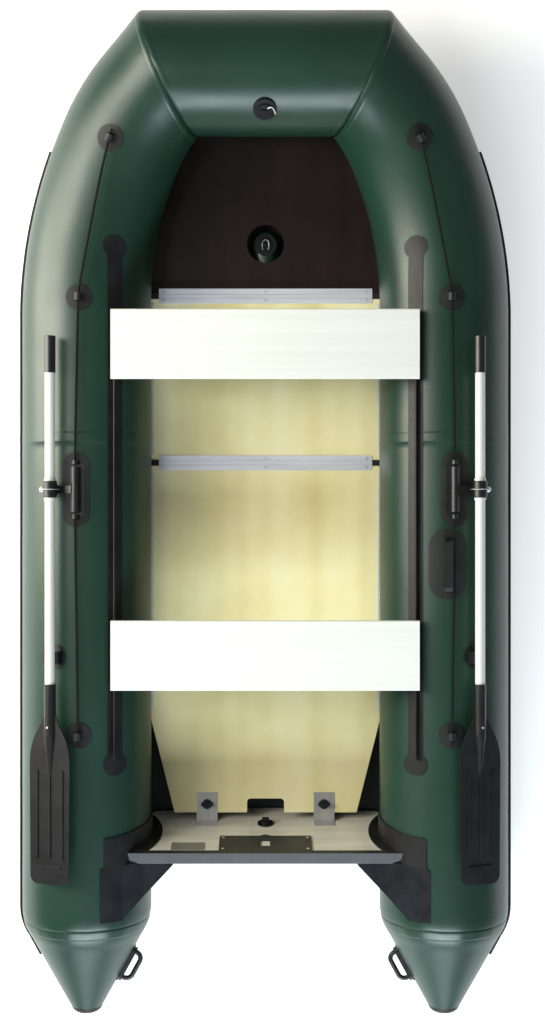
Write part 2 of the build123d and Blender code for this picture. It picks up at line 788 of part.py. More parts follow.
# ---- brackets that tie the floor to the transom ----
face_y = transom_foot_y - (floor_top - transom_foot_z) * tan(lean)
leg = Vector(0, -sin(lean), cos(lean)) * bracket_leg
toe = Vector(0, face_y + glue, floor_top)
with BuildPart() as transom_brackets:
    for side in (1, -1):
        with BuildSketch(Plane(origin=(side * bracket_x, 0, 0), x_dir=(0, 1, 0), z_dir=(1, 0, 0))):
            Polygon(
                (toe.Y, toe.Z),
                (knob_y + bracket_leg, toe.Z),
                (knob_y + bracket_leg, toe.Z + bracket_t),
                (toe.Y + bracket_t, toe.Z + bracket_t),
                (toe.Y + bracket_t + leg.Y, toe.Z + leg.Z),
                (toe.Y + leg.Y, toe.Z + leg.Z),
                align=None,
            )
        extrude(amount=bracket_w / 2, both=True)
    with Locations((bracket_x, knob_y, floor_top), (-bracket_x, knob_y, floor_top)):
        Cylinder(knob_post_r + 2 * running, 4 * bracket_t, mode=Mode.SUBTRACT)
keep(transom_brackets, "transom_brackets")

with BuildPart() as starboard_bracket_knob:
    with Locations((bracket_x, knob_y, floor_top - knob_post_l)):
        Cylinder(
            knob_post_r,
            knob_post_l + bracket_t + glue,
            align=(Align.CENTER, Align.CENTER, Align.MIN),
        )
    with Locations((bracket_x, knob_y, floor_top + bracket_t + glue)):
        Cylinder(18, 6, align=(Align.CENTER, Align.CENTER, Align.MIN))
        Box(44, 12, 18, align=(Align.CENTER, Align.CENTER, Align.MIN))
keep(starboard_bracket_knob, "starboard_bracket_knob")

with BuildPart() as port_bracket_knob:
    mirror(starboard_bracket_knob.part, about=Plane.YZ)
keep(port_bracket_knob, "port_bracket_knob")

with BuildPart() as rivets:
    with Locations((0, 0, flange_top)):
        with Locations(*[(x, y + dy) for y in joint_ys for x in rivet_xs for dy in (-16, 16)]):
            Cylinder(rivet_r, rivet_h, align=(Align.CENTER, Align.CENTER, Align.MIN))
    with Locations((0, knob_y + 34, floor_top + bracket_t)):
        with Locations(*[(side * bracket_x + dx, 0) for side in (1, -1) for dx in (-26, 26)]):
            Cylinder(rivet_r, rivet_h, align=(Align.CENTER, Align.CENTER, Align.MIN))
keep(rivets, "rivets")

# ---- drain ----
with BuildPart() as drain_body:
    with BuildSketch(transom.offset(-drain_flange_t)):
        with Locations((0, drain_h)):
            Circle(drain_flange_r)
            Circle(drain_r, mode=Mode.SUBTRACT)
    extrude(amount=drain_flange_t)
    with BuildSketch(transom):
        with Locations((0, drain_h)):
            Circle(drain_r + drain_wall - glue)
            Circle(drain_r, mode=Mode.SUBTRACT)
    extrude(amount=transom_t)
    with BuildSketch(transom.offset(transom_t)):
        with Locations((0, drain_h)):
            Circle(drain_flange_r)
            Circle(drain_r, mode=Mode.SUBTRACT)
    extrude(amount=drain_flange_t - 1)
keep(drain_body, "drain_body")

with BuildPart() as drain_plug:
    with BuildSketch(transom.offset(-drain_flange_t - glue)):
        with Locations((0, drain_h)):
            Circle(drain_r - running)
    extrude(amount=transom_t - 2)
    with BuildSketch(transom.offset(-drain_flange_t - glue)):
        with Locations((0, drain_h)):
            Circle(drain_r + drain_wall)
    extrude(amount=-plug_head_t)
    with BuildSketch(transom.offset(-drain_flange_t - glue - plug_head_t)):
        with Locations((0, drain_h)):
            RectangleRounded(26, 9, 3)
    extrude(amount=-13)
keep(drain_plug, "drain_plug")

# ---- seat rails and seats ----
rail_mid = (rail_front + rail_rear) / 2
rope_z = tube_height(rail_x, 0, glue + pad_t) + flap_h
flap_foot = tube_height(rail_x, 0, glue + pad_t / 2)
with BuildPart() as seat_rails:
    with BuildSketch(Plane.XY.offset(tube_r)):
        with Locations((rail_x, rail_mid)):
            Rectangle(rail_w, rail_front - rail_rear)
        with Locations((rail_x, rail_front), (rail_x, rail_rear)):
            Circle(rail_end_r)
    extrude(amount=tube_d)
    add(tube_padded, mode=Mode.INTERSECT)
    add(tube_glued, mode=Mode.SUBTRACT)
    with Locations((rail_x, (flap_front + flap_rear) / 2, flap_foot)):
        Box(
            flap_t,
            flap_front - flap_rear,
            rope_z - flap_foot,
            align=(Align.CENTER, Align.CENTER, Align.MIN),
        )
    with Locations((rail_x, (flap_front + flap_rear) / 2, rope_z)):
        Cylinder(rope_r, flap_front - flap_rear, rotation=(90, 0, 0))
    mirror(about=Plane.YZ)
keep(seat_rails, "seat_rails")

seat_z = rope_z + channel_w / 2
seat_half = rail_x + channel_w / 2
seat_profile = Plane(origin=(0, 0, seat_z), x_dir=(0, 1, 0), z_dir=(1, 0, 0))


def seat_plank(y):
    """Ribbed aluminium plank across the boat."""
    with BuildPart() as plank:
        with BuildSketch(seat_profile):
            with Locations((y, seat_h / 2)):
                RectangleRounded(seat_w, seat_h, 4)
            ribs = 4
            cell = (seat_w - (ribs + 1) * seat_wall) / ribs
            with Locations((y, (seat_h - seat_wall) / 2)):
                with GridLocations(cell + seat_wall, 0, ribs, 1):
                    Rectangle(cell, seat_h - seat_wall + 0.01, mode=Mode.SUBTRACT)
        extrude(amount=seat_half, both=True)
    return plank


def seat_channels(y):
    """Two moulded channels under a seat, sliding on the bolt ropes."""
    with BuildPart() as channels:
        with BuildSketch(Plane(origin=(0, y - channel_l / 2, 0), x_dir=(1, 0, 0), z_dir=(0, -1, 0))):
            for side in (1, -1):
                with Locations((side * rail_x, rope_z)):
                    Rectangle(channel_w, channel_w)
                    Circle(rope_r + slack, mode=Mode.SUBTRACT)
                with Locations((side * rail_x, rope_z - channel_w / 2)):
                    Rectangle(flap_t + 2 * slack, channel_w, mode=Mode.SUBTRACT)
        extrude(amount=-channel_l)
    return channels


front_seat = seat_plank(front_seat_y)
keep(front_seat, "front_seat")
front_seat_channels = seat_channels(front_seat_y)
keep(front_seat_channels, "front_seat_channels")
rear_seat = seat_plank(rear_seat_y)
keep(rear_seat, "rear_seat")
rear_seat_channels = seat_channels(rear_seat_y)
keep(rear_seat_channels, "rear_seat_channels")

# ---- rowlocks ----
with BuildPart() as rowlock_pads:
    with BuildSketch(Plane.XY.offset(tube_r)):
        with Locations((row_x, row_y)):
            SlotOverall(row_pad_l, row_pad_w, rotation=90)
    extrude(amount=tube_d)
    add(tube_padded, mode=Mode.INTERSECT)
    add(tube_glued, mode=Mode.SUBTRACT)
    mirror(about=Plane.YZ)
keep(rowlock_pads, "rowlock_pads")

base_top = axle_z - barrel_r - 1
lug_y = row_base_l / 2 - 12
line_hole_r = line_r + 0.8
line_z = axle_z - 2
with BuildPart() as rowlock_bodies:
    with BuildSketch(Plane.XY.offset(tube_r)):
        with Locations((row_x, row_y)):
            SlotOverall(row_base_l, row_base_w, rotation=90)
    extrude(amount=base_top - tube_r)
    for end in (1, -1):
        with Locations((row_x, row_y + end * (arm_w / 2 + glue + barrel_l / 2), axle_z)):
            Cylinder(barrel_r, barrel_l, rotation=(90, 0, 0))
            Box(
                1.6 * barrel_r,
                barrel_l,
                axle_z - tube_r,
                align=(Align.CENTER, Align.CENTER, Align.MAX),
            )
        with Locations((row_x, row_y + end * lug_y, line_z)):
            Cylinder(line_hole_r + 6, lug_t, rotation=(90, 0, 0))
            Box(
                2 * line_hole_r + 12,
                lug_t,
                line_z - tube_r,
                align=(Align.CENTER, Align.CENTER, Align.MAX),
            )
            Cylinder(line_hole_r, 2 * lug_t, rotation=(90, 0, 0), mode=Mode.SUBTRACT)
    with Locations((row_x, row_y, axle_z)):
        Cylinder(axle_r + running, arm_w + 2 * barrel_l - 4, rotation=(90, 0, 0), mode=Mode.SUBTRACT)
    add(tube_clear, mode=Mode.SUBTRACT)
    mirror(about=Plane.YZ)
keep(rowlock_bodies, "rowlock_bodies")

with BuildPart() as rowlock_axles:
    with Locations((row_x, row_y, axle_z)):
        Cylinder(axle_r, arm_w + 2 * barrel_l - 5, rotation=(90, 0, 0))
    mirror(about=Plane.YZ)
keep(rowlock_axles, "rowlock_axles")

# The oar's own frame: x along the shaft to the grip, z up the tilted swivel pin, y inboard.
pin_axis = Vector(sin(tilt), 0, cos(tilt))
inboard = Vector(-cos(tilt), 0, sin(tilt))
oar_centre = Vector(oar_x, row_y, oar_z)
oar = Plane(origin=oar_centre, x_dir=(0, 1, 0), z_dir=pin_axis)
shaft_section = Plane(origin=oar_centre, x_dir=inboard, z_dir=(0, 1, 0))
# On shaft_section local x is inboard and local y is up the pin.
lock_plane = Plane(origin=oar_centre - pin_axis * lock_depth, x_dir=(0, 1, 0), z_dir=-inboard)

eye_top = boss_depth + glue
neck_top = oar_centre + inboard * neck_reach - pin_axis * eye_top
eye_high = oar_centre - pin_axis * eye_top
eye_low = oar_centre - pin_axis * (eye_top + eye_t)
with BuildPart() as starboard_rowlock_arm:
    with Locations((row_x, row_y, axle_z)):
        Cylinder(barrel_r, arm_w, rotation=(90, 0, 0))
    with BuildSketch(Plane(origin=(0, row_y, 0), x_dir=(1, 0, 0), z_dir=(0, -1, 0))):
        Polygon(
            (row_x, axle_z + 10),
            (neck_top.X, neck_top.Z),
            (eye_high.X, eye_high.Z),
            (eye_low.X, eye_low.Z),
            (row_x, axle_z - 6),
            align=None,
        )
    extrude(amount=13, both=True)
    with BuildSketch(oar.offset(-eye_top)):
        Circle(eye_r)
    extrude(amount=-eye_t)
    with BuildSketch(oar.offset(-eye_top)):
        Circle(swivel_r)
    extrude(amount=boss_depth - shaft_r - 3.5)
    with BuildSketch(oar.offset(-lock_depth - lock_r - 0.6)):
        Circle(swivel_r + 1)
        Circle(swivel_r - lock_groove, mode=Mode.SUBTRACT)
    extrude(amount=2 * (lock_r + 0.6), mode=Mode.SUBTRACT)
    with Locations((row_x, row_y, axle_z)):
        Cylinder(axle_r + running, 2 * arm_w, rotation=(90, 0, 0), mode=Mode.SUBTRACT)
keep(starboard_rowlock_arm, "starboard_rowlock_arm")

with BuildPart() as starboard_oar_collar:
    with BuildSketch(oar.offset(-boss_depth)):
        Rectangle(boss_w, boss_w + 2)
    extrude(amount=boss_depth)
    with BuildSketch(shaft_section):
        Circle(collar_r)
    extrude(amount=collar_l / 2, both=True)
    fillet(starboard_oar_collar.edges().filter_by(GeomType.CIRCLE), 3)
    with BuildSketch(shaft_section):
        Circle(shaft_r + running)
    extrude(amount=collar_l, both=True, mode=Mode.SUBTRACT)
    with BuildSketch(oar.offset(-boss_depth)):
        Circle(swivel_r + running)
    extrude(amount=boss_depth - shaft_r - 2.5, mode=Mode.SUBTRACT)
    with BuildSketch(lock_plane):
        Circle(lock_r + running)
    extrude(amount=lock_l + 4, mode=Mode.SUBTRACT)
keep(starboard_oar_collar, "starboard_oar_collar")

with BuildPart() as starboard_lock_pin:
    with BuildSketch(lock_plane.offset(swivel_r - lock_groove + glue)):
        Circle(lock_r)
    extrude(amount=lock_l)
    with Locations(lock_plane.origin - inboard * (lock_l + 8)):
        Sphere(knob_r)
    with BuildLine(shaft_section) as bail_line:
        CenterArc((0, 0), bail_r, -20, 255.5)
    with BuildSketch(Plane(origin=bail_line.line @ 0, z_dir=bail_line.line % 0)):
        Circle(bail_wire_r)
    sweep(path=bail_line.line)
keep(starboard_lock_pin, "starboard_lock_pin")

for node, piece in (
    ("port_rowlock_arm", starboard_rowlock_arm),
    ("port_oar_collar", starboard_oar_collar),
    ("port_lock_pin", starboard_lock_pin),
):
    with BuildPart() as copy:
        mirror(piece.part, about=Plane.YZ)
    keep(copy, node)

# ---- oars ----
with BuildPart() as starboard_oar_shaft:
    with BuildSketch(shaft_section.offset(-shaft_aft)):
        Circle(shaft_r)
        Circle(shaft_r - shaft_wall, mode=Mode.SUBTRACT)
    extrude(amount=shaft_aft + shaft_fore)
    for end in (1, -1):
        start = end * (collar_l / 2 + slack)
        with BuildSketch(shaft_section.offset(start)):
            Circle(shaft_r + 3)
            Circle(shaft_r - shaft_wall / 2, mode=Mode.SUBTRACT)
        extrude(amount=end * 8)
    with BuildSketch(oar):
        with Locations((-button_at, 0)):
            Circle(button_r + running)
    extrude(amount=2 * shaft_r, mode=Mode.SUBTRACT)
keep(starboard_oar_shaft, "starboard_oar_shaft")

with BuildPart() as starboard_oar_grip:
    with BuildSketch(shaft_section.offset(grip_end - grip_l)):
        Circle(grip_r)
    extrude(amount=grip_l)
    fillet(starboard_oar_grip.edges().filter_by(GeomType.CIRCLE), 1.5)
    with BuildSketch(shaft_section.offset(grip_end - grip_l - 1)):
        Circle(shaft_r + running / 2)
    extrude(amount=shaft_fore + running - (grip_end - grip_l - 1), mode=Mode.SUBTRACT)
keep(starboard_oar_grip, "starboard_oar_grip")

blade_root = socket_start + 90
with BuildPart() as starboard_oar_blade:
    with BuildSketch(oar.offset(-blade_t / 2)):
        with BuildLine():
            Line((-blade_root, 0), (-blade_root, 20))
            Bezier(
                (-blade_root, 20),
                (-blade_root - 70, 26),
                (-blade_root - 80, blade_w / 2),
                (-blade_root - 190, blade_w / 2),
            )
            Line((-blade_root - 190, blade_w / 2), (-blade_tip + 30, blade_w / 2 - 3))
            TangentArc(
                (-blade_tip + 30, blade_w / 2 - 3), (-blade_tip, blade_w / 2 - 32), tangent=(-1, 0)
            )
            Line((-blade_tip, blade_w / 2 - 32), (-blade_tip, 0))
            Line((-blade_tip, 0), (-blade_root, 0))
        make_face()
        mirror(about=Plane.XZ)
    extrude(amount=blade_t)
    with BuildSketch(oar.offset(-blade_t / 2 - rib_h)):
        for y in (-48, 0, 48):
            with Locations((-(blade_root + blade_tip) / 2 - 60, y)):
                SlotOverall(blade_tip - blade_root - 300, 9)
        with Locations((-blade_tip + 60, 0)):
            SlotOverall(90, 10, rotation=90)
    extrude(amount=blade_t + 2 * rib_h)
    with BuildSketch(shaft_section.offset(-socket_start)):
        Circle(socket_r)
    extrude(amount=-(shaft_aft - socket_start + 8))
    with BuildSketch(shaft_section.offset(-shaft_aft - 8)):
        Circle(socket_r)
    with BuildSketch(shaft_section.offset(-shaft_aft - 160)):
        Circle(5)
    loft()
    with BuildSketch(shaft_section.offset(-socket_start + 1)):
        Circle(shaft_r + running / 2)
    extrude(amount=-(shaft_aft - socket_start + 1 + running), mode=Mode.SUBTRACT)
    with BuildSketch(oar):
        with Locations((-button_at, 0)):
            Circle(button_r + running)
    extrude(amount=2 * socket_r, mode=Mode.SUBTRACT)
keep(starboard_oar_blade, "starboard_oar_blade")

with BuildPart() as starboard_snap_button:
    with BuildSketch(oar.offset(button_depth)):
        with Locations((-button_at, 0)):
            Circle(button_r)
    extrude(amount=socket_r + 3 - button_depth)
    fillet(starboard_snap_button.edges().sort_by(Axis(oar_centre, pin_axis))[-1], 1.5)
    with BuildSketch(oar.offset(button_depth)):
        with Locations((12 - button_at, 0)):
            SlotOverall(40, 11)
    extrude(amount=2)
keep(starboard_snap_button, "starboard_snap_button")

for node, piece in (
    ("port_oar_shaft", starboard_oar_shaft),
    ("port_oar_grip", starboard_oar_grip),
    ("port_oar_blade", starboard_oar_blade),
    ("port_snap_button", starboard_snap_button),
):
    with BuildPart() as copy:
        mirror(piece.part, about=Plane.YZ)
    keep(copy, node)

# ---- oar clips ----
cradle_r = shaft_r + slack
with BuildPart() as oar_clips:
    with BuildSketch(Plane.XY.offset(tube_r)):
        with Locations((oar_x - 6, clip_y)):
            Circle(clip_pad_r)
    extrude(amount=tube_d)
    add(tube_padded, mode=Mode.INTERSECT)
    with BuildSketch(shaft_section.offset(clip_y - row_y - clip_l / 2)):
        with BuildLine():
            Line((-16, -cradle_r), (0, -cradle_r))
            CenterArc((0, 0), cradle_r, -90, 58)
            Polyline(
                (cradle_r * cos(radians(32)), -cradle_r * sin(radians(32))),
                (24, -12),
                (24, -75),
                (-16, -75),
                (-16, -cradle_r),
            )
        make_face()
    extrude(amount=clip_l)
    add(tube_glued, mode=Mode.SUBTRACT)
    mirror(about=Plane.YZ)
keep(oar_clips, "oar_clips")

# ---- lifelines ----
line_lift = pad_t + glue + 9 + line_r  # rope centre above the tube where it passes an eyelet
front_s = station_at(front_eyelet_y)
middle_s = station_at(middle_eyelet_y)


def on_top(s, lift):
    """A point straight above the tube's axis, lift above its skin."""
    centre, _, pitch, r = station(s)
    return centre + tube_plane(s).y_dir * (r + lift)


def eyelet(s):
    """Round patch with a moulded arch that the rope runs through, s along the tube's bend."""
    section = tube_plane(s)
    rope_height = station(s)[3] + line_lift
    with BuildPart() as patch:
        with BuildSketch(Plane(origin=on_top(s, 0), x_dir=section.x_dir, z_dir=section.y_dir)):
            Circle(eyelet_r)
        extrude(amount=30, both=True)
        add(tube_padded, mode=Mode.INTERSECT)
        with BuildSketch(section.offset(-arch_l / 2)):
            with Locations((0, rope_height)):
                Circle(arch_in + arch_t)
                Rectangle(2 * (arch_in + arch_t), line_lift + 8, align=(Align.CENTER, Align.MAX))
        extrude(amount=arch_l)
        with BuildSketch(section.offset(-arch_l)):
            with Locations((0, rope_height)):
                Circle(arch_in)
        extrude(amount=2 * arch_l, mode=Mode.SUBTRACT)
        add(tube_glued, mode=Mode.SUBTRACT)
    return patch.part


arch_in = line_r + 1.9
with BuildPart() as lifeline_eyelets:
    for s in (front_s, middle_s, rear_eyelet_y - bend_y):
        add(eyelet(s))
    mirror(about=Plane.YZ)
keep(lifeline_eyelets, "lifeline_eyelets")


def rope(points):
    """Rope through hand-picked points, with tangent arcs at the bends."""
    runs = [(b - a).length for a, b in zip(points, points[1:])]
    radii = []
    for i in range(1, len(points) - 1):
        before = points[i] - points[i - 1]
        after = points[i + 1] - points[i]
        turn = radians(before.get_angle(after))
        radii.append(0.45 * min(runs[i - 1], runs[i]) / tan(turn / 2))
    print("rope bend radii", [round(r) for r in radii])
    with BuildPart() as strand:
        with BuildLine() as way:
            FilletPolyline(*points, radius=radii)
        with BuildSketch(Plane(origin=way.line @ 0, z_dir=way.line % 0)):
            Circle(line_r)
        sweep()
    return strand.part


line_front = on_top(front_s + 34, line_lift)
lug_front = Vector(row_x, row_y + lug_y - 2, line_z)
lug_rear = Vector(row_x, row_y - lug_y + 2, line_z)
line_rear = Vector(tube_x, rear_eyelet_y - 34, tube_top + line_lift)
fore_points = [
    line_front,
    on_top(front_s - 40, line_lift),
    on_top(middle_s + 30, line_lift),
    on_top(middle_s - 30, line_lift),
    Vector(row_x, row_y + lug_y + 60, line_z + 0.5),
    lug_front,
]
aft_points = [
    lug_rear,
    Vector(row_x, row_y - lug_y - 60, line_z - 1),
    Vector(tube_x, rear_eyelet_y + 40, tube_top + line_lift),
    line_rear,
]
with BuildPart() as starboard_lifeline:
    add(rope(fore_points))
    add(rope(aft_points))
keep(starboard_lifeline, "starboard_lifeline")

with BuildPart() as port_lifeline:
    mirror(starboard_lifeline.part, about=Plane.YZ)
keep(port_lifeline, "port_lifeline")

# ---- carry handle on the starboard tube ----
handle_foot = tube_height(handle_x, handle_y, glue + pad_t / 2)
with BuildPart() as carry_handle:
    with BuildSketch(Plane.XY.offset(tube_r)):
        with Locations((handle_x, handle_y)):
            RectangleRounded(handle_w, handle_l, 60)
    extrude(amount=tube_d)
    add(tube_padded, mode=Mode.INTERSECT)
    with BuildSketch(Plane(origin=(handle_x, handle_y, handle_foot), x_dir=(0, 1, 0), z_dir=(1, 0, 0))):
        with Locations((0, -20)):
            Rectangle(grab_l, grab_h + 20, align=(Align.CENTER, Align.MIN))
        with Locations((0, grab_h)):
            with Locations((grab_l / 2, 0), (-grab_l / 2, 0)):
                Rectangle(60, 20, rotation=45, mode=Mode.SUBTRACT)
        Rectangle(
            grab_l - 2 * grab_t - 10,
            grab_h - grab_t,
            align=(Align.CENTER, Align.MIN),
            mode=Mode.SUBTRACT,
        )
    extrude(amount=grab_w / 2, both=True)
    add(tube_glued, mode=Mode.SUBTRACT)
keep(carry_handle, "carry_handle")

# ---- grab handles on the stern cones ----
cone_mid_y = stern_y + 178
cone_mid_r = cone_cap_r + (cone_mid_y - stern_y - cone_cap_l) * tan(cone_slope)
cone_spot = Vector(tube_x - cone_mid_r, cone_mid_y, tube_r)
along = Vector(sin(cone_slope), -cos(cone_slope), 0)
outward = Vector(-cos(cone_slope), -sin(cone_slope), 0)
cone_face = Plane(origin=cone_spot, x_dir=along, z_dir=outward)
cone_section = Plane(origin=cone_spot, x_dir=along, z_dir=(0, 0, 1))
with BuildPart() as cone_handles:
    with BuildSketch(cone_face.offset(-22)):
        SlotOverall(2 * loop_l + 44, 46)
    extrude(amount=22 + glue + pad_t)
    with BuildSketch(cone_face.offset(-22)):
        SlotOverall(2 * loop_l + loop_base_w, loop_base_w)
    extrude(amount=22 + glue + pad_t + loop_base_h)
    with BuildLine() as loop_line:
        FilletPolyline(
            cone_spot - along * loop_l - outward * 10,
            cone_spot - along * loop_l + outward * (loop_h - loop_r),
            cone_spot + along * loop_l + outward * (loop_h - loop_r),
            cone_spot + along * loop_l - outward * 10,
            radius=loop_bend,
        )
    with BuildSketch(Plane(origin=loop_line.line @ 0, z_dir=loop_line.line % 0)):
        Circle(loop_r)
    sweep()
    add(tube_glued, mode=Mode.SUBTRACT)
    mirror(about=Plane.YZ)
keep(cone_handles, "cone_handles")

# ---- inflation valves ----
bow_valve_angle = radians(bow_valve_back)
bow_valve_out = Vector(0, -sin(bow_valve_angle), cos(bow_valve_angle))
bow_valve = Plane(
    origin=Vector(0, bow_y, bow_z) + bow_valve_out * bow_r, x_dir=(1, 0, 0), z_dir=bow_valve_out
)
side_valve_out = Vector(-cos(radians(side_valve_up)), 0, sin(radians(side_valve_up)))
side_valve = Plane(
    origin=Vector(tube_x, rear_seat_y, tube_r) + side_valve_out * tube_r,
    x_dir=(0, 1, 0),
    z_dir=side_valve_out,
)
keel_valve_z = keel_centre + keel_r + (keel_hole_y - keel_bend_y) ** 2 / (2 * keel_radius)
keel_slope = (keel_hole_y - keel_bend_y) / keel_radius
keel_valve = Plane(
    origin=(0, keel_hole_y, keel_valve_z), x_dir=(1, 0, 0), z_dir=(0, -sin(keel_slope), cos(keel_slope))
)


def valve_body(seat):
    """Round welded valve flange with a plain bore for its cap's plug."""
    with BuildPart() as body:
        with BuildSketch(seat.offset(-6)):
            Circle(valve_r)
            Circle(valve_bore_r, mode=Mode.SUBTRACT)
        extrude(amount=6 + valve_h)
    return body.part


def valve_cap(seat):
    """Cap with a plug that fits the body's bore and a raised finger bar."""
    with BuildPart() as cap:
        with BuildSketch(seat.offset(valve_h + glue)):
            Circle(valve_cap_r)
        extrude(amount=valve_cap_t)
        with BuildSketch(seat.offset(valve_h + glue)):
            Circle(valve_bore_r - running)
        extrude(amount=-4)
        with BuildSketch(seat.offset(valve_h + glue + valve_cap_t)):
            RectangleRounded(30, 8, 3)
        extrude(amount=5)
    return cap


with BuildPart() as bow_valve_body:
    add(valve_body(bow_valve))
    with Locations((0, bow_y, bow_z)):
        Cylinder(bow_r + glue, bow_flat, rotation=(0, 90, 0), mode=Mode.SUBTRACT)
with BuildPart() as keel_valve_body:
    add(valve_body(keel_valve))
    add(keel_body(glue).part, mode=Mode.SUBTRACT)
with BuildPart() as side_valve_bodies:
    add(valve_body(side_valve))
    add(tube_glued, mode=Mode.SUBTRACT)
    mirror(about=Plane.YZ)
with BuildPart() as valve_bodies:
    add(bow_valve_body.part)
    add(keel_valve_body.part)
    add(side_valve_bodies.part)
keep(valve_bodies, "valve_bodies")

keep(valve_cap(bow_valve), "bow_valve_cap")
keep(valve_cap(keel_valve), "keel_valve_cap")
starboard_valve_cap = valve_cap(side_valve)
keep(starboard_valve_cap, "starboard_valve_cap")
with BuildPart() as port_valve_cap:
    mirror(starboard_valve_cap.part, about=Plane.YZ)
keep(port_valve_cap, "port_valve_cap")
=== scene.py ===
from math import atan, cos, pi, radians, sin, sqrt, tan

import bpy
import numpy as np
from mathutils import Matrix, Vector


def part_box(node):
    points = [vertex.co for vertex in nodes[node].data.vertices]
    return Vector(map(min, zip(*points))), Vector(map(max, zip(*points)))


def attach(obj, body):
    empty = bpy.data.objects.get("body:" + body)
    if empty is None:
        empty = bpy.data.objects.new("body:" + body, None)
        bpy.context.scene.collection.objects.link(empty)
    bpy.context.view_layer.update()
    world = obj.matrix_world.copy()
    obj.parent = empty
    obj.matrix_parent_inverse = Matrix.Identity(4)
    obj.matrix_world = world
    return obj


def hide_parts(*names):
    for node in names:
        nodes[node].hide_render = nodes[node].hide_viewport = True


# Looks of an inflatable dinghy. Metres, in the CAD's frame: +Y to the bow, +X to starboard,
# +Z up, the ground at z = 0. The tubes, keel, bottom and lifelines are modelled again in finer form.

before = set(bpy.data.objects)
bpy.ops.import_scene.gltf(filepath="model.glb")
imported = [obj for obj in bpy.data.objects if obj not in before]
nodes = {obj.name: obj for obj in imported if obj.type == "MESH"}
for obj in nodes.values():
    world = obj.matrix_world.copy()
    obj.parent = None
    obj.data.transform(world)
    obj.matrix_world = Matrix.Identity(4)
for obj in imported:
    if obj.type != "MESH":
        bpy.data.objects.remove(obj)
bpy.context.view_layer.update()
SIDES = (("starboard", 1), ("port", -1))

# ---- the hull's own sizes, as the CAD has them ----
TUBE_R = 0.235
TUBE_X = 0.655
BOW_R = 0.215
BOW_Y = 1.585
BOW_Z = 0.425
BOW_RISE = 0.190
BOW_FLAT = 0.680
TURN_1 = radians(26)
TURN_2 = radians(45)
RADIUS_2 = 0.600
MITRE_RUN = 0.090
STERN_Y = -1.800
CONE_Y = -1.405
SHOULDER_L = 0.110
SHOULDER_R = 0.200
CAP_L = 0.025
CAP_R = 0.058
PAD_T = 0.003
GLUE = 0.0003
KEEL_R = 0.0551
KEEL_Z = 0.0614
KEEL_BEND_Y = 0.860
KEEL_RADIUS = 0.64**2 / 0.45
KEEL_SAG = 0.024
KEEL_END_L = 0.250
KEEL_TAIL_Y = -1.059
TRANSOM_FOOT = Vector((0, -1.104, 0.030))
TRANSOM_T = 0.032

INWARD = TUBE_X - BOW_FLAT / 2
RADIUS_1 = (INWARD - RADIUS_2 * (cos(TURN_1) - cos(TURN_2)) - MITRE_RUN * sin(TURN_2)) / (1 - cos(TURN_1))
ARC_1 = RADIUS_1 * TURN_1
ARC_2 = RADIUS_2 * (TURN_2 - TURN_1)
BEND_L = ARC_1 + ARC_2 + MITRE_RUN
BEND_Y = BOW_Y - RADIUS_1 * sin(TURN_1) - RADIUS_2 * (sin(TURN_2) - sin(TURN_1)) - MITRE_RUN * cos(TURN_2)
SHEER_R = BEND_L**2 / (2 * BOW_RISE)


def station(s):
    """Centre, heading, pitch and radius of the starboard tube, s along its bend."""
    if s <= 0:
        return np.array([TUBE_X, BEND_Y + s, TUBE_R]), 0.0, 0.0, TUBE_R
    heading = min(s / RADIUS_1, TURN_1)
    x = TUBE_X - RADIUS_1 * (1 - cos(heading))
    y = BEND_Y + RADIUS_1 * sin(heading)
    if s > ARC_1:
        heading = min(TURN_1 + (s - ARC_1) / RADIUS_2, TURN_2)
        x -= RADIUS_2 * (cos(TURN_1) - cos(heading))
        y += RADIUS_2 * (sin(heading) - sin(TURN_1))
    if s > ARC_1 + ARC_2:
        x -= (s - ARC_1 - ARC_2) * sin(TURN_2)
        y += (s - ARC_1 - ARC_2) * cos(TURN_2)
    r = TUBE_R + (BOW_R - TUBE_R) * min(s / BEND_L, 1)
    flat = min(s, BEND_L)
    pitch = atan(flat / SHEER_R)
    return np.array([x, y, TUBE_R + flat**2 / (2 * SHEER_R) + (s - flat) * tan(pitch)]), heading, pitch, r


def section_axes(heading, pitch):
    """Outboard, up and forward directions of a section of the starboard tube."""
    forward = np.array([-sin(heading) * cos(pitch), cos(heading) * cos(pitch), sin(pitch)])
    out = np.array([cos(heading), sin(heading), 0.0])
    return out, np.cross(-forward, out), forward


def station_at(y):
    """Distance along the bend whose centre is at this y."""
    low, high = 0.0, BEND_L
    while high - low > 1e-5:
        middle = (low + high) / 2
        low, high = (middle, high) if station(middle)[0][1] < y else (low, middle)
    return low


def skin(s, angle, lift=0.0):
    """A point on the starboard tube's skin: angle 0 is outboard, 90 degrees is up."""
    centre, heading, pitch, r = station(s)
    out, up, _ = section_axes(heading, pitch)
    return centre + (r + lift) * (cos(angle) * out + sin(angle) * up)


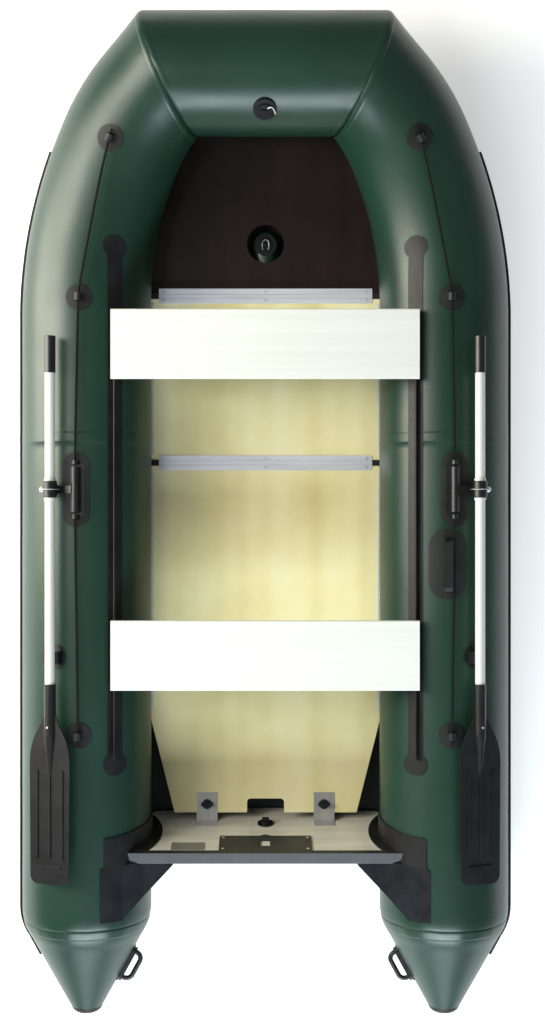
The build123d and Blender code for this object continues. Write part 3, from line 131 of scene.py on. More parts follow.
# ---- materials ----
class Shader:
    """A procedural material, built node by node."""

    def __init__(self, name, rough, metallic=0.0):
        self.material = bpy.data.materials.new(name)
        self.material.use_nodes = True
        self.tree = self.material.node_tree
        self.bsdf = self.tree.nodes["Principled BSDF"]
        self.bsdf.inputs["Roughness"].default_value = rough
        self.bsdf.inputs["Metallic"].default_value = metallic
        self.coords = self.tree.nodes.new("ShaderNodeTexCoord")
        self.bump_out = None

    def node(self, kind, settings=None, **inputs):
        made = self.tree.nodes.new(kind)
        for key, value in (settings or {}).items():
            setattr(made, key, value)
        for key, value in inputs.items():
            socket = made.inputs[key.replace("_", " ")]
            if isinstance(value, bpy.types.NodeSocket):
                self.tree.links.new(value, socket)
            else:
                socket.default_value = value
        return made

    def mapped(self, scale, space="Object"):
        """Texture coordinates stretched by scale, three numbers."""
        return self.node("ShaderNodeMapping", Vector=self.coords.outputs[space], Scale=scale).outputs[0]

    def noise(self, scale, detail=4.0, stretch=(1, 1, 1), rough=0.55, space="Object"):
        made = self.node(
            "ShaderNodeTexNoise",
            Vector=self.mapped(stretch, space),
            Scale=scale,
            Detail=detail,
            Roughness=rough,
        )
        return made.outputs["Fac"]

    def ramp(self, value, stops):
        made = self.node("ShaderNodeValToRGB", Fac=value)
        ramp = made.color_ramp
        while len(ramp.elements) < len(stops):
            ramp.elements.new(0.5)
        for element, (place, colour) in zip(ramp.elements, stops):
            element.position = place
            element.color = (*colour, 1)
        return made.outputs["Color"]

    def math(self, how, a, b=0.0, c=0.0):
        made = self.node("ShaderNodeMath", {"operation": how})
        for socket, value in zip(made.inputs, (a, b, c)):
            if isinstance(value, bpy.types.NodeSocket):
                self.tree.links.new(value, socket)
            else:
                socket.default_value = value
        return made.outputs[0]

    def mix(self, fac, a, b, how="MIX"):
        made = self.node("ShaderNodeMix", {"data_type": "RGBA", "blend_type": how})
        for socket, value in zip((made.inputs[0], made.inputs[6], made.inputs[7]), (fac, a, b)):
            if isinstance(value, bpy.types.NodeSocket):
                self.tree.links.new(value, socket)
            else:
                socket.default_value = value
        return made.outputs[2]

    def colour(self, value):
        self.tree.links.new(value, self.bsdf.inputs["Base Color"])

    def roughness(self, value, low, high):
        made = self.node("ShaderNodeMapRange", Value=value, To_Min=low, To_Max=high)
        self.tree.links.new(made.outputs[0], self.bsdf.inputs["Roughness"])

    def bump(self, height, depth, strength=1.0):
        """Adds relief: height runs from 0 to 1 over depth metres."""
        made = self.node("ShaderNodeBump", Height=height, Distance=depth, Strength=strength)
        if self.bump_out is not None:
            self.tree.links.new(self.bump_out, made.inputs["Normal"])
        self.bump_out = made.outputs[0]
        self.tree.links.new(self.bump_out, self.bsdf.inputs["Normal"])


def waves(shader, direction, scale, space="UV", distortion=0.0):
    made = shader.node(
        "ShaderNodeTexWave",
        {"bands_direction": direction},
        Vector=shader.coords.outputs[space],
        Scale=scale,
        Distortion=distortion,
    )
    return made.outputs["Fac"]


def fabric_shader(name, dark, light, rough, weave):
    """Coated fabric: slow tone changes, a faint base-cloth weave and a little orange peel."""
    made = Shader(name, rough)
    slow = made.noise(2.1, 3.0)
    fine = made.noise(420.0, 2.0)
    tone = made.math("ADD", made.math("MULTIPLY", slow, 0.8), made.math("MULTIPLY", fine, 0.2))
    made.colour(made.ramp(tone, ((0.30, dark), (0.72, light))))
    made.roughness(made.noise(9.0, 5.0), rough - 0.05, rough + 0.06)
    cloth = made.math("MULTIPLY", waves(made, "X", weave), waves(made, "Y", weave))
    made.bump(cloth, 0.00006, 0.5)
    made.bump(made.noise(38.0, 3.0), 0.0009, 0.35)
    made.bsdf.inputs["Specular IOR Level"].default_value = 0.5
    return made.material


def moulding_shader(name, base, rough, grain, depth, gloss=0.5):
    """Moulded rubber or plastic with a fine grain and slightly rubbed tone."""
    made = Shader(name, rough)
    tone = made.noise(14.0, 6.0)
    lighter = tuple(1.8 * c + 0.004 for c in base)
    made.colour(made.ramp(tone, ((0.35, base), (0.75, lighter))))
    made.roughness(made.noise(55.0, 4.0), rough - 0.07, rough + 0.08)
    cells = made.node("ShaderNodeTexVoronoi", Vector=made.coords.outputs["Object"], Scale=grain)
    made.bump(cells.outputs["Distance"], depth, 0.5)
    made.bump(made.noise(22.0, 4.0), 0.0006, 0.25)
    made.bsdf.inputs["Specular IOR Level"].default_value = gloss
    return made.material


def metal_shader(name, base, rough, stretch, metallic=1.0):
    """Drawn or brushed metal, its streaks stretched along the part."""
    made = Shader(name, rough, metallic)
    streaks = made.noise(60.0, 5.0, stretch)
    darker = tuple(0.82 * c for c in base)
    made.colour(made.ramp(streaks, ((0.3, darker), (0.7, base))))
    made.roughness(streaks, rough - 0.08, rough + 0.1)
    made.bump(streaks, 0.00008, 0.6)
    return made


GREEN_DARK, GREEN_LIGHT = (0.0058, 0.0280, 0.0180), (0.0092, 0.0400, 0.0260)
WEAVE = 285.0
pvc_green = fabric_shader("pvc_green", GREEN_DARK, GREEN_LIGHT, 0.36, WEAVE)
pvc_bottom = fabric_shader("pvc_bottom", (0.0035, 0.0080, 0.0085), (0.0060, 0.0125, 0.0130), 0.42, WEAVE)
rubber = moulding_shader("black_rubber", (0.0060, 0.0060, 0.0068), 0.46, 700.0, 0.0001, 0.3)
patch_rubber = moulding_shader("patch_rubber", (0.0075, 0.0085, 0.0085), 0.50, 500.0, 0.00015, 0.35)
moulded = moulding_shader("moulded_black", (0.0045, 0.0045, 0.0052), 0.36, 900.0, 0.00008)
glossy_moulded = moulding_shader("moulded_gloss", (0.0070, 0.0080, 0.0105), 0.24, 900.0, 0.00003)
cap_black = moulding_shader("cap_black", (0.0040, 0.0040, 0.0046), 0.55, 800.0, 0.00008, 0.15)
slate = moulding_shader("trim_slate", (0.0080, 0.0095, 0.0120), 0.40, 800.0, 0.00008)
bare_alu = metal_shader("bare_alu", (0.78, 0.79, 0.86), 0.42, (0.05, 1.0, 1.0), 0.55)
# Two shallow grooves run along each floor profile, either side of its web.
profile_y = bare_alu.node("ShaderNodeSeparateXYZ", Vector=bare_alu.coords.outputs["Object"]).outputs["Y"]
PROFILE_Y, PROFILE_HALF_PITCH = 0.217, 0.3125
GROOVE_OFF, GROOVE_HALF, GROOVE_DEPTH = 0.0075, 0.0012, 0.0008
along_floor = bare_alu.math("SUBTRACT", profile_y, PROFILE_Y)
one_pitch = bare_alu.math("WRAP", along_floor, PROFILE_HALF_PITCH, -PROFILE_HALF_PITCH)
from_web = bare_alu.math("ABSOLUTE", one_pitch)
groove = bare_alu.math("COMPARE", from_web, GROOVE_OFF, GROOVE_HALF)
bare_alu.bump(bare_alu.math("SUBTRACT", 1.0, groove), GROOVE_DEPTH, 0.9)
bare_alu = bare_alu.material
stainless = metal_shader("stainless", (0.66, 0.66, 0.64), 0.30, (1.0, 0.1, 1.0), 0.75).material
plate_grey = metal_shader("plate_grey", (0.34, 0.34, 0.32), 0.38, (0.06, 1.0, 1.0), 0.6).material


def white_paint():
    made = Shader("white_paint", 0.34)
    streaks = made.noise(40.0, 5.0, (0.02, 1.0, 1.0))
    made.colour(made.ramp(streaks, ((0.25, (0.70, 0.72, 0.68)), (0.75, (0.76, 0.78, 0.74)))))
    made.roughness(made.noise(30.0, 4.0), 0.28, 0.42)
    made.bump(streaks, 0.00012, 0.4)
    made.bump(made.noise(400.0, 2.0), 0.00003, 0.5)
    return made.material


def oar_paint():
    made = Shader("oar_paint", 0.30)
    streaks = made.noise(50.0, 4.0, (1.0, 0.03, 1.0))
    made.colour(made.ramp(streaks, ((0.3, (0.62, 0.63, 0.59)), (0.7, (0.69, 0.70, 0.66)))))
    made.roughness(made.noise(60.0, 4.0), 0.24, 0.38)
    made.bump(made.noise(300.0, 2.0), 0.00004, 0.5)
    return made.material


def floor_ply():
    """Sealed plywood with a printed-in wire mesh: cream, with panels of slightly other tone and painted
    glints brightening its flecks.
    """
    made = Shader("floor_ply", 0.33)
    where = made.coords.outputs["Object"]
    bands = made.noise(7.0, 1.0, (1.0, 0.03, 1.0))
    cloud = made.noise(3.0, 5.0)
    tone = made.math("ADD", made.math("MULTIPLY", bands, 0.55), made.math("MULTIPLY", cloud, 0.45))
    creams = ((0.36, (0.66, 0.57, 0.26)), (0.52, (0.78, 0.71, 0.39)), (0.66, (0.84, 0.79, 0.52)))
    base = made.ramp(tone, creams)
    wires = made.math("MAXIMUM", waves(made, "X", 75.0, "Object"), waves(made, "Y", 75.0, "Object"))
    wires = made.math("POWER", wires, 3.0)
    flecks_and_glints = made.node("ShaderNodeTexVoronoi", Vector=where, Scale=260.0).outputs["Distance"]
    # Painted glints: the fleck centres are brightened to a bluish white in the colour, while the flecks'
    # relief in the bump is real.
    speck = made.ramp(flecks_and_glints, ((0.0, (1.06, 1.06, 1.10)), (0.35, (0.97, 0.97, 0.96))))
    made.colour(made.mix(0.8, base, speck, "MULTIPLY"))
    made.roughness(made.noise(60.0, 5.0), 0.26, 0.42)
    made.bump(wires, 0.00022, 0.5)
    made.bump(flecks_and_glints, 0.0002, 0.4)
    made.bump(made.noise(5.0, 3.0), 0.002, 0.25)
    return made.material


def bow_ply():
    made = Shader("bow_ply", 0.42)
    grain = made.noise(16.0, 7.0, (1.0, 0.12, 1.0))
    scuff = made.noise(5.0, 8.0, (1.0, 1.0, 1.0), 0.7)
    base = made.ramp(grain, ((0.3, (0.0065, 0.0030, 0.0028)), (0.7, (0.0140, 0.0062, 0.0055))))
    worn = made.ramp(scuff, ((0.58, (0, 0, 0)), (0.86, (0.3, 0.3, 0.3))))
    made.colour(made.mix(worn, base, (0.030, 0.020, 0.018, 1)))
    made.roughness(scuff, 0.34, 0.52)
    made.bump(grain, 0.0003, 0.4)
    made.bsdf.inputs["Specular IOR Level"].default_value = 0.22
    return made.material


def transom_ply():
    made = Shader("transom_ply", 0.25)
    where = made.coords.outputs["Object"]
    grain = made.noise(26.0, 6.0, (0.10, 1.0, 1.0))
    specks = made.node("ShaderNodeTexVoronoi", Vector=where, Scale=330.0).outputs["Distance"]
    base = made.ramp(grain, ((0.3, (0.56, 0.53, 0.45)), (0.7, (0.70, 0.68, 0.60))))
    speck = made.ramp(specks, ((0.0, (0.80, 0.79, 0.76)), (0.30, (1.0, 1.0, 1.0))))
    made.colour(made.mix(0.7, base, speck, "MULTIPLY"))
    made.roughness(made.noise(18.0, 4.0), 0.18, 0.32)
    made.bump(made.noise(12.0, 4.0), 0.0015, 0.2)
    made.bump(specks, 0.00012, 0.4)
    return made.material


def rope_shader():
    made = Shader("rope_black", 0.7)
    fibres = made.noise(900.0, 3.0)
    made.colour(made.ramp(fibres, ((0.35, (0.003, 0.003, 0.003)), (0.75, (0.011, 0.011, 0.011)))))
    made.bump(fibres, 0.0003, 0.7)
    made.bsdf.inputs["Specular IOR Level"].default_value = 0.2
    return made.material


white = white_paint()
oar_white = oar_paint()
rope_black = rope_shader()

LOOKS = {
    "cone_caps": rubber, "rubbing_strakes": rubber, "keel_guard": patch_rubber, "floorboards": floor_ply(),
    "floor_profiles": bare_alu, "floor_profile_plugs": moulded, "stringers": bare_alu, "bow_board": bow_ply(),
    "transom_board": transom_ply(), "transom_trim": slate, "inner_motor_plate": slate,
    "outer_motor_plate": slate, "motor_plate_bolts": stainless, "builders_plate": plate_grey,
    "transom_holders": rubber, "transom_wedges": glossy_moulded, "transom_brackets": stainless,
    "starboard_bracket_knob": moulded, "port_bracket_knob": moulded, "rivets": stainless,
    "drain_body": moulded, "drain_plug": moulded, "seat_rails": rubber, "front_seat": white,
    "front_seat_channels": moulded, "rear_seat": white, "rear_seat_channels": moulded,
    "rowlock_pads": patch_rubber, "rowlock_bodies": moulded, "rowlock_axles": stainless,
    "oar_clips": moulded, "lifeline_eyelets": patch_rubber, "carry_handle": patch_rubber,
    "cone_handles": moulded, "valve_bodies": cap_black, "bow_valve_cap": cap_black,
    "keel_valve_cap": cap_black,
}
for side, _ in SIDES:
    for node, look in (
        ("rowlock_arm", moulded), ("oar_collar", moulded), ("lock_pin", stainless), ("oar_shaft", oar_white),
        ("oar_grip", moulded), ("oar_blade", moulded), ("snap_button", stainless), ("valve_cap", cap_black),
    ):
        LOOKS[f"{side}_{node}"] = look
for name, look in LOOKS.items():
    nodes[name].data.materials.clear()
    nodes[name].data.materials.append(look)


# ---- worn edges on the rigid parts ----
EDGE_ANGLE = radians(35)
EDGE_SEGMENTS = 2
EDGES = {
    "front_seat": 0.0015, "rear_seat": 0.0015, "floorboards": 0.0008, "bow_board": 0.0008,
    "transom_board": 0.0006, "transom_trim": 0.0012, "inner_motor_plate": 0.0008, "outer_motor_plate": 0.0008,
    "floor_profiles": 0.0005, "transom_brackets": 0.0005, "rowlock_bodies": 0.0010, "transom_wedges": 0.0022,
    "rowlock_pads": 0.0008, "cone_handles": 0.0006, "front_seat_channels": 0.0006,
    "rear_seat_channels": 0.0006,
}
for name, width in EDGES.items():
    edge = nodes[name].modifiers.new("edge", "BEVEL")
    edge.width = width
    edge.segments = EDGE_SEGMENTS
    edge.limit_method = "ANGLE"
    edge.angle_limit = EDGE_ANGLE
    edge.harden_normals = True


# ---- mesh helpers ----
def add_mesh(name, points, faces, look, uvs=None, body="hull"):
    """A smooth mesh object riding on a body. uvs is one pair for each face corner."""
    mesh = bpy.data.meshes.new(name)
    mesh.from_pydata([tuple(p) for p in points], [], faces)
    mesh.polygons.foreach_set("use_smooth", [True] * len(mesh.polygons))
    if uvs is not None:
        layer = mesh.uv_layers.new(name="UVMap")
        layer.data.foreach_set("uv", np.array(uvs, dtype=np.float32).ravel())
    mesh.materials.append(look)
    mesh.validate()
    made = bpy.data.objects.new(name, mesh)
    bpy.context.scene.collection.objects.link(made)
    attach(made, body)
    return made


def grid_faces(rows, columns, closed):
    """Quads of a grid of points, row by row, closed round the columns or open."""
    faces = []
    for i in range(rows - 1):
        for j in range(columns if closed else columns - 1):
            k = (j + 1) % columns
            faces.append((i * columns + j, i * columns + k, (i + 1) * columns + k, (i + 1) * columns + j))
    return faces


def grid_uvs(along, around, closed):
    """Corner UVs in metres for grid_faces; around has one more value than columns if closed."""
    uvs = []
    columns = len(around) - 1
    for i in range(len(along) - 1):
        for j in range(columns):
            uvs += [(along[i], around[j]), (along[i], around[j + 1])]
            uvs += [(along[i + 1], around[j + 1]), (along[i + 1], around[j])]
    return uvs


def mirrored(points):
    return np.array(points) * np.array([-1, 1, 1])


def flip(faces):
    return [tuple(reversed(f)) for f in faces]


def step(distance, half, edge=0.0006):
    """1 inside a band of half-width half, falling to 0 over edge."""
    return float(np.clip((half + edge - abs(distance)) / edge, 0, 1))


# ---- inflated tubes ----
SEGMENTS = 144
SEAM_T = 0.0011
TAPE_HALF = 0.016
SEAM_YS = (0.297,)
SEAM_SHARE = 0.35  # of a tape's relief, for the seam welded from inside
MITRE_TUCK, MITRE_TUCK_L = 0.0034, 0.006  # depth of a hollow and how far it fades
MITRE_PUCKER, MITRE_PUCKER_L = 0.0012, 0.05
SEAM_PUCKER, SEAM_PUCKER_L = 0.0004, 0.03
CONE_TUCK, CONE_TUCK_L = 0.0024, 0.0022
CONE_PUCKER, CONE_PUCKER_L = 0.0010, 0.03
SLACK = 0.0006  # broad soft waves of the skin
TAPE_EDGE = 0.0007
CONE_SEAM_Y = -1.463
CLOSING_L = 0.255  # of the side tube, where its rings turn to the mitre
BOW_GAP = 1.35  # the bow tube's rings stand this much further apart at the mitre
angles = [2 * pi * j / SEGMENTS - pi / 2 for j in range(SEGMENTS)]
around = [TUBE_R * 2 * pi * j / SEGMENTS for j in range(SEGMENTS + 1)]
CONE_SLOPE = (SHOULDER_R - CAP_R) / (STERN_Y + CAP_L - CONE_Y + SHOULDER_L)


def cone_radius(y):
    """Radius of the side tube aft of its straight part."""
    if y >= CONE_Y:
        return TUBE_R
    if y <= CONE_Y - SHOULDER_L:
        return SHOULDER_R + (CONE_Y - SHOULDER_L - y) * CONE_SLOPE
    drop = TUBE_R - SHOULDER_R
    arc = (SHOULDER_L**2 + drop**2) / (2 * drop)
    return TUBE_R - arc + sqrt(arc**2 - (CONE_Y - y) ** 2)


mitre_centre, mitre_heading, mitre_pitch, _ = station(BEND_L)
mitre_forward = section_axes(mitre_heading, mitre_pitch)[2]
mitre_normal = mitre_forward + np.array([-1.0, 0, 0])
mitre_normal /= np.linalg.norm(mitre_normal)


def past_mitre(point):
    return float((point - mitre_centre) @ mitre_normal)


def ripple(phase):
    """A wave between 0 and 1."""
    return 0.5 + 0.5 * sin(phase)


def tube_relief(distance_to_mitre, angle, y):
    """How far the skin stands off the true tube: seam tapes, the tuck at the mitre, soft waves."""
    to_mitre = abs(distance_to_mitre)
    lift = SEAM_T * step(distance_to_mitre, TAPE_HALF)
    lift -= MITRE_TUCK * np.exp(-to_mitre / MITRE_TUCK_L)
    lift -= MITRE_PUCKER * np.exp(-to_mitre / MITRE_PUCKER_L) * ripple(17 * angle + 1.3)
    for seam_y in SEAM_YS:
        lift += SEAM_SHARE * SEAM_T * step(y - seam_y, TAPE_HALF)
        lift -= SEAM_PUCKER * np.exp(-abs(y - seam_y) / SEAM_PUCKER_L) * ripple(13 * angle)
    if y < CONE_Y + 0.02:
        to_seam = y - CONE_SEAM_Y
        lift += SEAM_T * step(to_seam, TAPE_HALF)
        lift -= CONE_TUCK * np.exp(-abs(to_seam - TAPE_HALF - 0.002) / CONE_TUCK_L)
        lift -= CONE_PUCKER * np.exp(-abs(to_seam) / CONE_PUCKER_L) * ripple(21 * angle)
    lift -= SLACK * ripple(16.1 * y + 2 * angle) * ripple(3 * angle + 4 * y)
    return lift


def band_stops(centre):
    """Where rings go so that a tape's edges are crisp."""
    edges = (TAPE_HALF + TAPE_EDGE, TAPE_HALF, TAPE_HALF - 0.004, 0.004)
    return [centre + sign * e for e in edges for sign in (1, -1)]


def side_tube_rows():
    """Rings of the starboard tube from the cone's end to the mitre, as points and distances."""
    ys = list(np.linspace(STERN_Y + CAP_L, CONE_Y - SHOULDER_L, 14))
    ys += list(np.linspace(CONE_Y - SHOULDER_L, CONE_Y, 14)[1:])
    ys += list(np.arange(CONE_Y + 0.03, BEND_Y, 0.032))
    for seam_y in (*SEAM_YS, CONE_SEAM_Y):
        ys += band_stops(seam_y)
    ys += [CONE_SEAM_Y + TAPE_HALF + d for d in (0.002, 0.0035, 0.006)]
    ys = sorted(set(round(y, 5) for y in ys))
    rows, along = [], []
    for y in ys:
        r = cone_radius(y)
        ring = []
        for a in angles:
            lift = tube_relief(1.0, a, y)
            ring.append((TUBE_X + (r + lift) * cos(a), y, TUBE_R + (r + lift) * sin(a)))
        rows.append(ring)
        along.append(y)
    last_whole = BEND_L - CLOSING_L
    for s in np.arange(0.012, last_whole, 0.027):
        centre, heading, pitch, r = station(s)
        out, up, _ = section_axes(heading, pitch)
        reach = [r + tube_relief(1.0, a, centre[1]) for a in angles]
        rows.append([centre + k * (cos(a) * out + sin(a) * up) for k, a in zip(reach, angles)])
        along.append(BEND_Y + s)
    # The last rings close in on the slanted mitre, line by line.
    ends = []
    for a in angles:
        low, high = last_whole, BEND_L + 0.3
        while high - low > 1e-6:
            middle = (low + high) / 2
            low, high = (middle, high) if past_mitre(skin(middle, a)) < 0 else (low, middle)
        ends.append(low)
    to_seam = [0.0, 0.1, 0.2, 0.3, 0.4, 0.5, 0.58, 0.66, 0.74, 0.81, 0.87]
    before = [0.024, 0.0185, TAPE_HALF + TAPE_EDGE, TAPE_HALF, 0.012, 0.008, 0.005, 0.0025, 0.0012, 0.0]
    for share in to_seam:
        ring = []
        for a, end in zip(angles, ends):
            s = last_whole + (end - 0.03 - last_whole) * share / to_seam[-1]
            ring.append(skin(s, a, tube_relief(past_mitre(skin(s, a)), a, station(s)[0][1])))
        rows.append(ring)
        along.append(BEND_Y + last_whole + 0.25 * share)
    for gap in before:
        ring = []
        for a, end in zip(angles, ends):
            s = end - gap
            near = past_mitre(skin(s, a))
            ring.append(skin(s, a, tube_relief(near, a, station(s)[0][1])))
        rows.append(ring)
        along.append(BEND_Y + BEND_L - gap)
    return rows, along


rows, along = side_tube_rows()
tube_points = np.array(rows).reshape(-1, 3)
tube_points[:, 2] = np.maximum(tube_points[:, 2], 0.0)
tube_faces = grid_faces(len(rows), SEGMENTS, True)
tube_uvs = grid_uvs(along, around, True)
for side, sign in SIDES:
    points = tube_points if sign > 0 else mirrored(tube_points)
    faces = tube_faces if sign < 0 else flip(tube_faces)
    made = add_mesh(f"{side}_tube_skin", points, faces, pvc_green, tube_uvs)
    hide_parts(f"{side}_tube")


def bow_rows():
    """Rings of the bow tube, closing on the two mitres."""
    gaps = [0.0, 0.0012, 0.0025, 0.005, 0.008, 0.012, TAPE_HALF, TAPE_HALF + TAPE_EDGE, 0.0185, 0.024]
    shares = list(np.linspace(0, 1, 26))
    rows, along = [], []
    ends = []
    for a in angles:
        y, z = BOW_Y + BOW_R * cos(a), BOW_Z + BOW_R * sin(a)
        rest = (y - mitre_centre[1]) * mitre_normal[1] + (z - mitre_centre[2]) * mitre_normal[2]
        ends.append(mitre_centre[0] - rest / mitre_normal[0])

    def ring(place):
        made = []
        for a, end in zip(angles, ends):
            x = place(end)
            flat = np.array([abs(x), BOW_Y + BOW_R * cos(a), BOW_Z + BOW_R * sin(a)])
            r = BOW_R + tube_relief(past_mitre(flat), a, 3.0 + x)
            made.append((x, BOW_Y + r * cos(a), BOW_Z + r * sin(a)))
        return made

    for gap in gaps:
        rows.append(ring(lambda end, g=gap: end - g * BOW_GAP))
        along.append(BOW_FLAT / 2 - gap)
    for share in shares[1:-1]:
        rows.append(ring(lambda end, k=share: (end - 0.035) * (1 - 2 * k)))
        along.append((BOW_FLAT / 2 - 0.03) * (1 - 2 * share))
    for gap in reversed(gaps):
        rows.append(ring(lambda end, g=gap: -end + g * BOW_GAP))
        along.append(gap - BOW_FLAT / 2)
    return rows, along


rows, along = bow_rows()
bow = add_mesh(
    "bow_tube_skin", np.array(rows).reshape(-1, 3), flip(grid_faces(len(rows), SEGMENTS, True)),
    pvc_green, grid_uvs(along, around, True),
)
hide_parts("bow_tube")

# ---- keel ----
KEEL_SEGMENTS = 48
KEEL_SLACK = 0.0007
KEEL_DOME_L = 0.05
KEEL_END_SHARE = 0.5  # of its radius, left at its ends
keel_angles = [2 * pi * j / KEEL_SEGMENTS for j in range(KEEL_SEGMENTS)]
rows, along = [], []
keel_stops = list(np.linspace(KEEL_TAIL_Y + 0.022, KEEL_BEND_Y, 60))
keel_stops += list(KEEL_BEND_Y + np.linspace(0.01, KEEL_END_L - 0.02, 16))
for y in keel_stops:
    past = max(0.0, y - KEEL_BEND_Y)
    lean_up = atan(past / KEEL_RADIUS)
    z = KEEL_Z + KEEL_RADIUS - sqrt(KEEL_RADIUS**2 - past**2)
    end_gap = min(y - keel_stops[0], keel_stops[-1] - y)
    dome = KEEL_R * sqrt(max(0.0, 1 - max(0.0, 1 - end_gap / KEEL_DOME_L) ** 2 * (1 - KEEL_END_SHARE**2)))
    ring = []
    for a in keel_angles:
        r = dome - KEEL_SLACK * ripple(9 * a + 30 * y)
        ring.append((r * cos(a), y - r * sin(a) * sin(lean_up), z + r * sin(a) * cos(lean_up)))
    rows.append(ring)
    along.append(y)
first, last = np.mean(rows[0], axis=0), np.mean(rows[-1], axis=0)
keel_points = [p for ring in rows for p in ring]
keel_points += [tuple(first + (0, -0.008, 0)), tuple(last + (0, 0.008, 0.002))]
keel_faces = grid_faces(len(rows), KEEL_SEGMENTS, True)
keel_uvs = grid_uvs(along, [KEEL_R * 2 * pi * j / KEEL_SEGMENTS for j in range(KEEL_SEGMENTS + 1)], True)
tail, nose = len(keel_points) - 2, len(keel_points) - 1
for j in range(KEEL_SEGMENTS):
    k = (j + 1) % KEEL_SEGMENTS
    base = (len(rows) - 1) * KEEL_SEGMENTS
    keel_faces += [(tail, k, j), (nose, base + j, base + k)]
    keel_uvs += [(0, 0), (0.01, 0), (0.01, 0.01)] * 2
keel = add_mesh("keel_skin", keel_points, flip(keel_faces), pvc_green, keel_uvs)
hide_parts("keel_tube")

# ---- bottom ----
BOTTOM_T = 0.002
BOTTOM_Z = 0.004  # the fabric's underside along the keel
BOTTOM_SHOWN_T = 0.0014
BOTTOM_NARROWS, BOTTOM_LIFT_POWER = 0.10, 0.7  # towards the bow tube
BOTTOM_DOWN = radians(55)
FLANGE = radians(11)
FLANGE_LIFT = 0.0014
FLANGE_STEPS = 4
BOW_BOTTOM_Y = 1.500
NOSE_FROM, NOSE_TO = BOW_BOTTOM_Y - 0.05, BOW_BOTTOM_Y + 0.045
KEEL_FLAT = 0.060
KEEL_SOFTNESS = 0.004  # rounds the change from the flat to the slope
NOSE_ROWS = 6


def bottom_edge(y):
    """Bend distance at which the bottom's starboard edge has this y."""
    low, high = 0.0, BEND_L
    while high - low > 1e-5:
        s = (low + high) / 2
        edge = skin(s, pi + BOTTOM_DOWN, BOTTOM_T)
        low, high = (s, high) if edge[1] < y else (low, s)
    return (low + high) / 2


def bottom_row(y, columns=14):
    """Half a section of the bottom from the keel outboard, with its flange up the tube."""
    s = y - BEND_Y if y <= BEND_Y else bottom_edge(y)
    edge = skin(s, pi + BOTTOM_DOWN, BOTTOM_T / 2 + GLUE)
    middle = BOTTOM_Z + BOTTOM_T / 2 + max(0.0, y - KEEL_BEND_Y - KEEL_SAG) ** 2 / (2 * KEEL_RADIUS)
    flat = KEEL_FLAT * min(1.0, edge[0] / 0.3)
    row = []
    for k in range(columns):
        x = edge[0] * k / columns
        t = (x - flat) / (edge[0] - flat)
        slope = (t + sqrt(t * t + KEEL_SOFTNESS)) / (1 + sqrt(1 + KEEL_SOFTNESS))
        row.append((x, y, middle + (edge[2] - middle) * slope))
    for k in range(FLANGE_STEPS + 1):
        row.append(tuple(skin(s, pi + BOTTOM_DOWN - FLANGE * k / FLANGE_STEPS, FLANGE_LIFT)))
    return row


ys = list(np.linspace(TRANSOM_FOOT.y - TRANSOM_T, BEND_Y, 40))
ys += list(np.linspace(BEND_Y, NOSE_FROM, 18)[1:])
half_rows = [bottom_row(y) for y in ys]
template = half_rows[-1]
for k in range(1, NOSE_ROWS + 1):
    share = k / NOSE_ROWS
    y = ys[-1] + (NOSE_TO - ys[-1]) * share
    z = BOW_Z - sqrt(BOW_R**2 - (BOW_Y - y) ** 2) - BOTTOM_T
    row = []
    for p in template:
        ahead = y + (p[1] - template[0][1]) * (1 - share)
        row.append((p[0] * (1 - BOTTOM_NARROWS * share), ahead, p[2] + (z - p[2]) * share**BOTTOM_LIFT_POWER))
    half_rows.append(row)
    ys.append(y)
bottom_points, columns = [], 2 * len(half_rows[0]) - 1
for row in half_rows:
    bottom_points += [(-x, y, z) for x, y, z in reversed(row[1:])] + list(row)
bottom_uvs = grid_uvs(ys, list(np.linspace(-0.6, 0.6, columns)), False)
bottom_faces = flip(grid_faces(len(half_rows), columns, False))
bottom = add_mesh("bottom_skin", bottom_points, bottom_faces, pvc_bottom, bottom_uvs)
thick = bottom.modifiers.new("fabric", "SOLIDIFY")
thick.thickness = BOTTOM_SHOWN_T
thick.offset = 0
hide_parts("bottom_fabric")


# ---- lifelines ----
LINE_R = 0.005
LOOP_CLEAR = 0.009  # from an eyelet's pad to the rope's underside
LINE_LIFT = PAD_T + GLUE + LOOP_CLEAR + LINE_R
ROW_X, ROW_Y, LINE_Z, LUG_Y = 0.665, 0.112, 0.488, 0.095
EYELET_FRONT_Y, EYELET_MIDDLE_Y, EYELET_REAR_Y = 1.385, 0.790, -0.754
front_s, middle_s = station_at(EYELET_FRONT_Y), station_at(EYELET_MIDDLE_Y)


def on_top(s):
    return tuple(skin(s, pi / 2, LINE_LIFT))


FORE_ROUTE = [
    on_top(front_s + 0.034), on_top(front_s - 0.040), on_top(middle_s + 0.030), on_top(middle_s - 0.030),
    (ROW_X, ROW_Y + LUG_Y + 0.060, LINE_Z + 0.0005), (ROW_X, ROW_Y + LUG_Y - 0.002, LINE_Z),
]
AFT_ROUTE = [
    (ROW_X, ROW_Y - LUG_Y + 0.002, LINE_Z), (ROW_X, ROW_Y - LUG_Y - 0.060, LINE_Z - 0.001),
    (TUBE_X, EYELET_REAR_Y + 0.040, 2 * TUBE_R + LINE_LIFT),
    (TUBE_X, EYELET_REAR_Y - 0.034, 2 * TUBE_R + LINE_LIFT),
]


def smooth_route(route):
    """Points read from the route's NURBS line."""
    curve = bpy.data.curves.new("route", "CURVE")
    curve.dimensions = "3D"
    curve.resolution_u = 24
    line = curve.splines.new("NURBS")
    line.points.add(len(route) - 1)
    for point, place in zip(line.points, route):
        point.co = (*place, 1)
    line.order_u = 3
    line.use_endpoint_u = True
    holder = bpy.data.objects.new("route", curve)
    mesh = bpy.data.meshes.new_from_object(holder)
    points = np.array([v.co for v in mesh.vertices])
    bpy.data.objects.remove(holder)
    bpy.data.meshes.remove(mesh)
    bpy.data.curves.remove(curve)
    return points


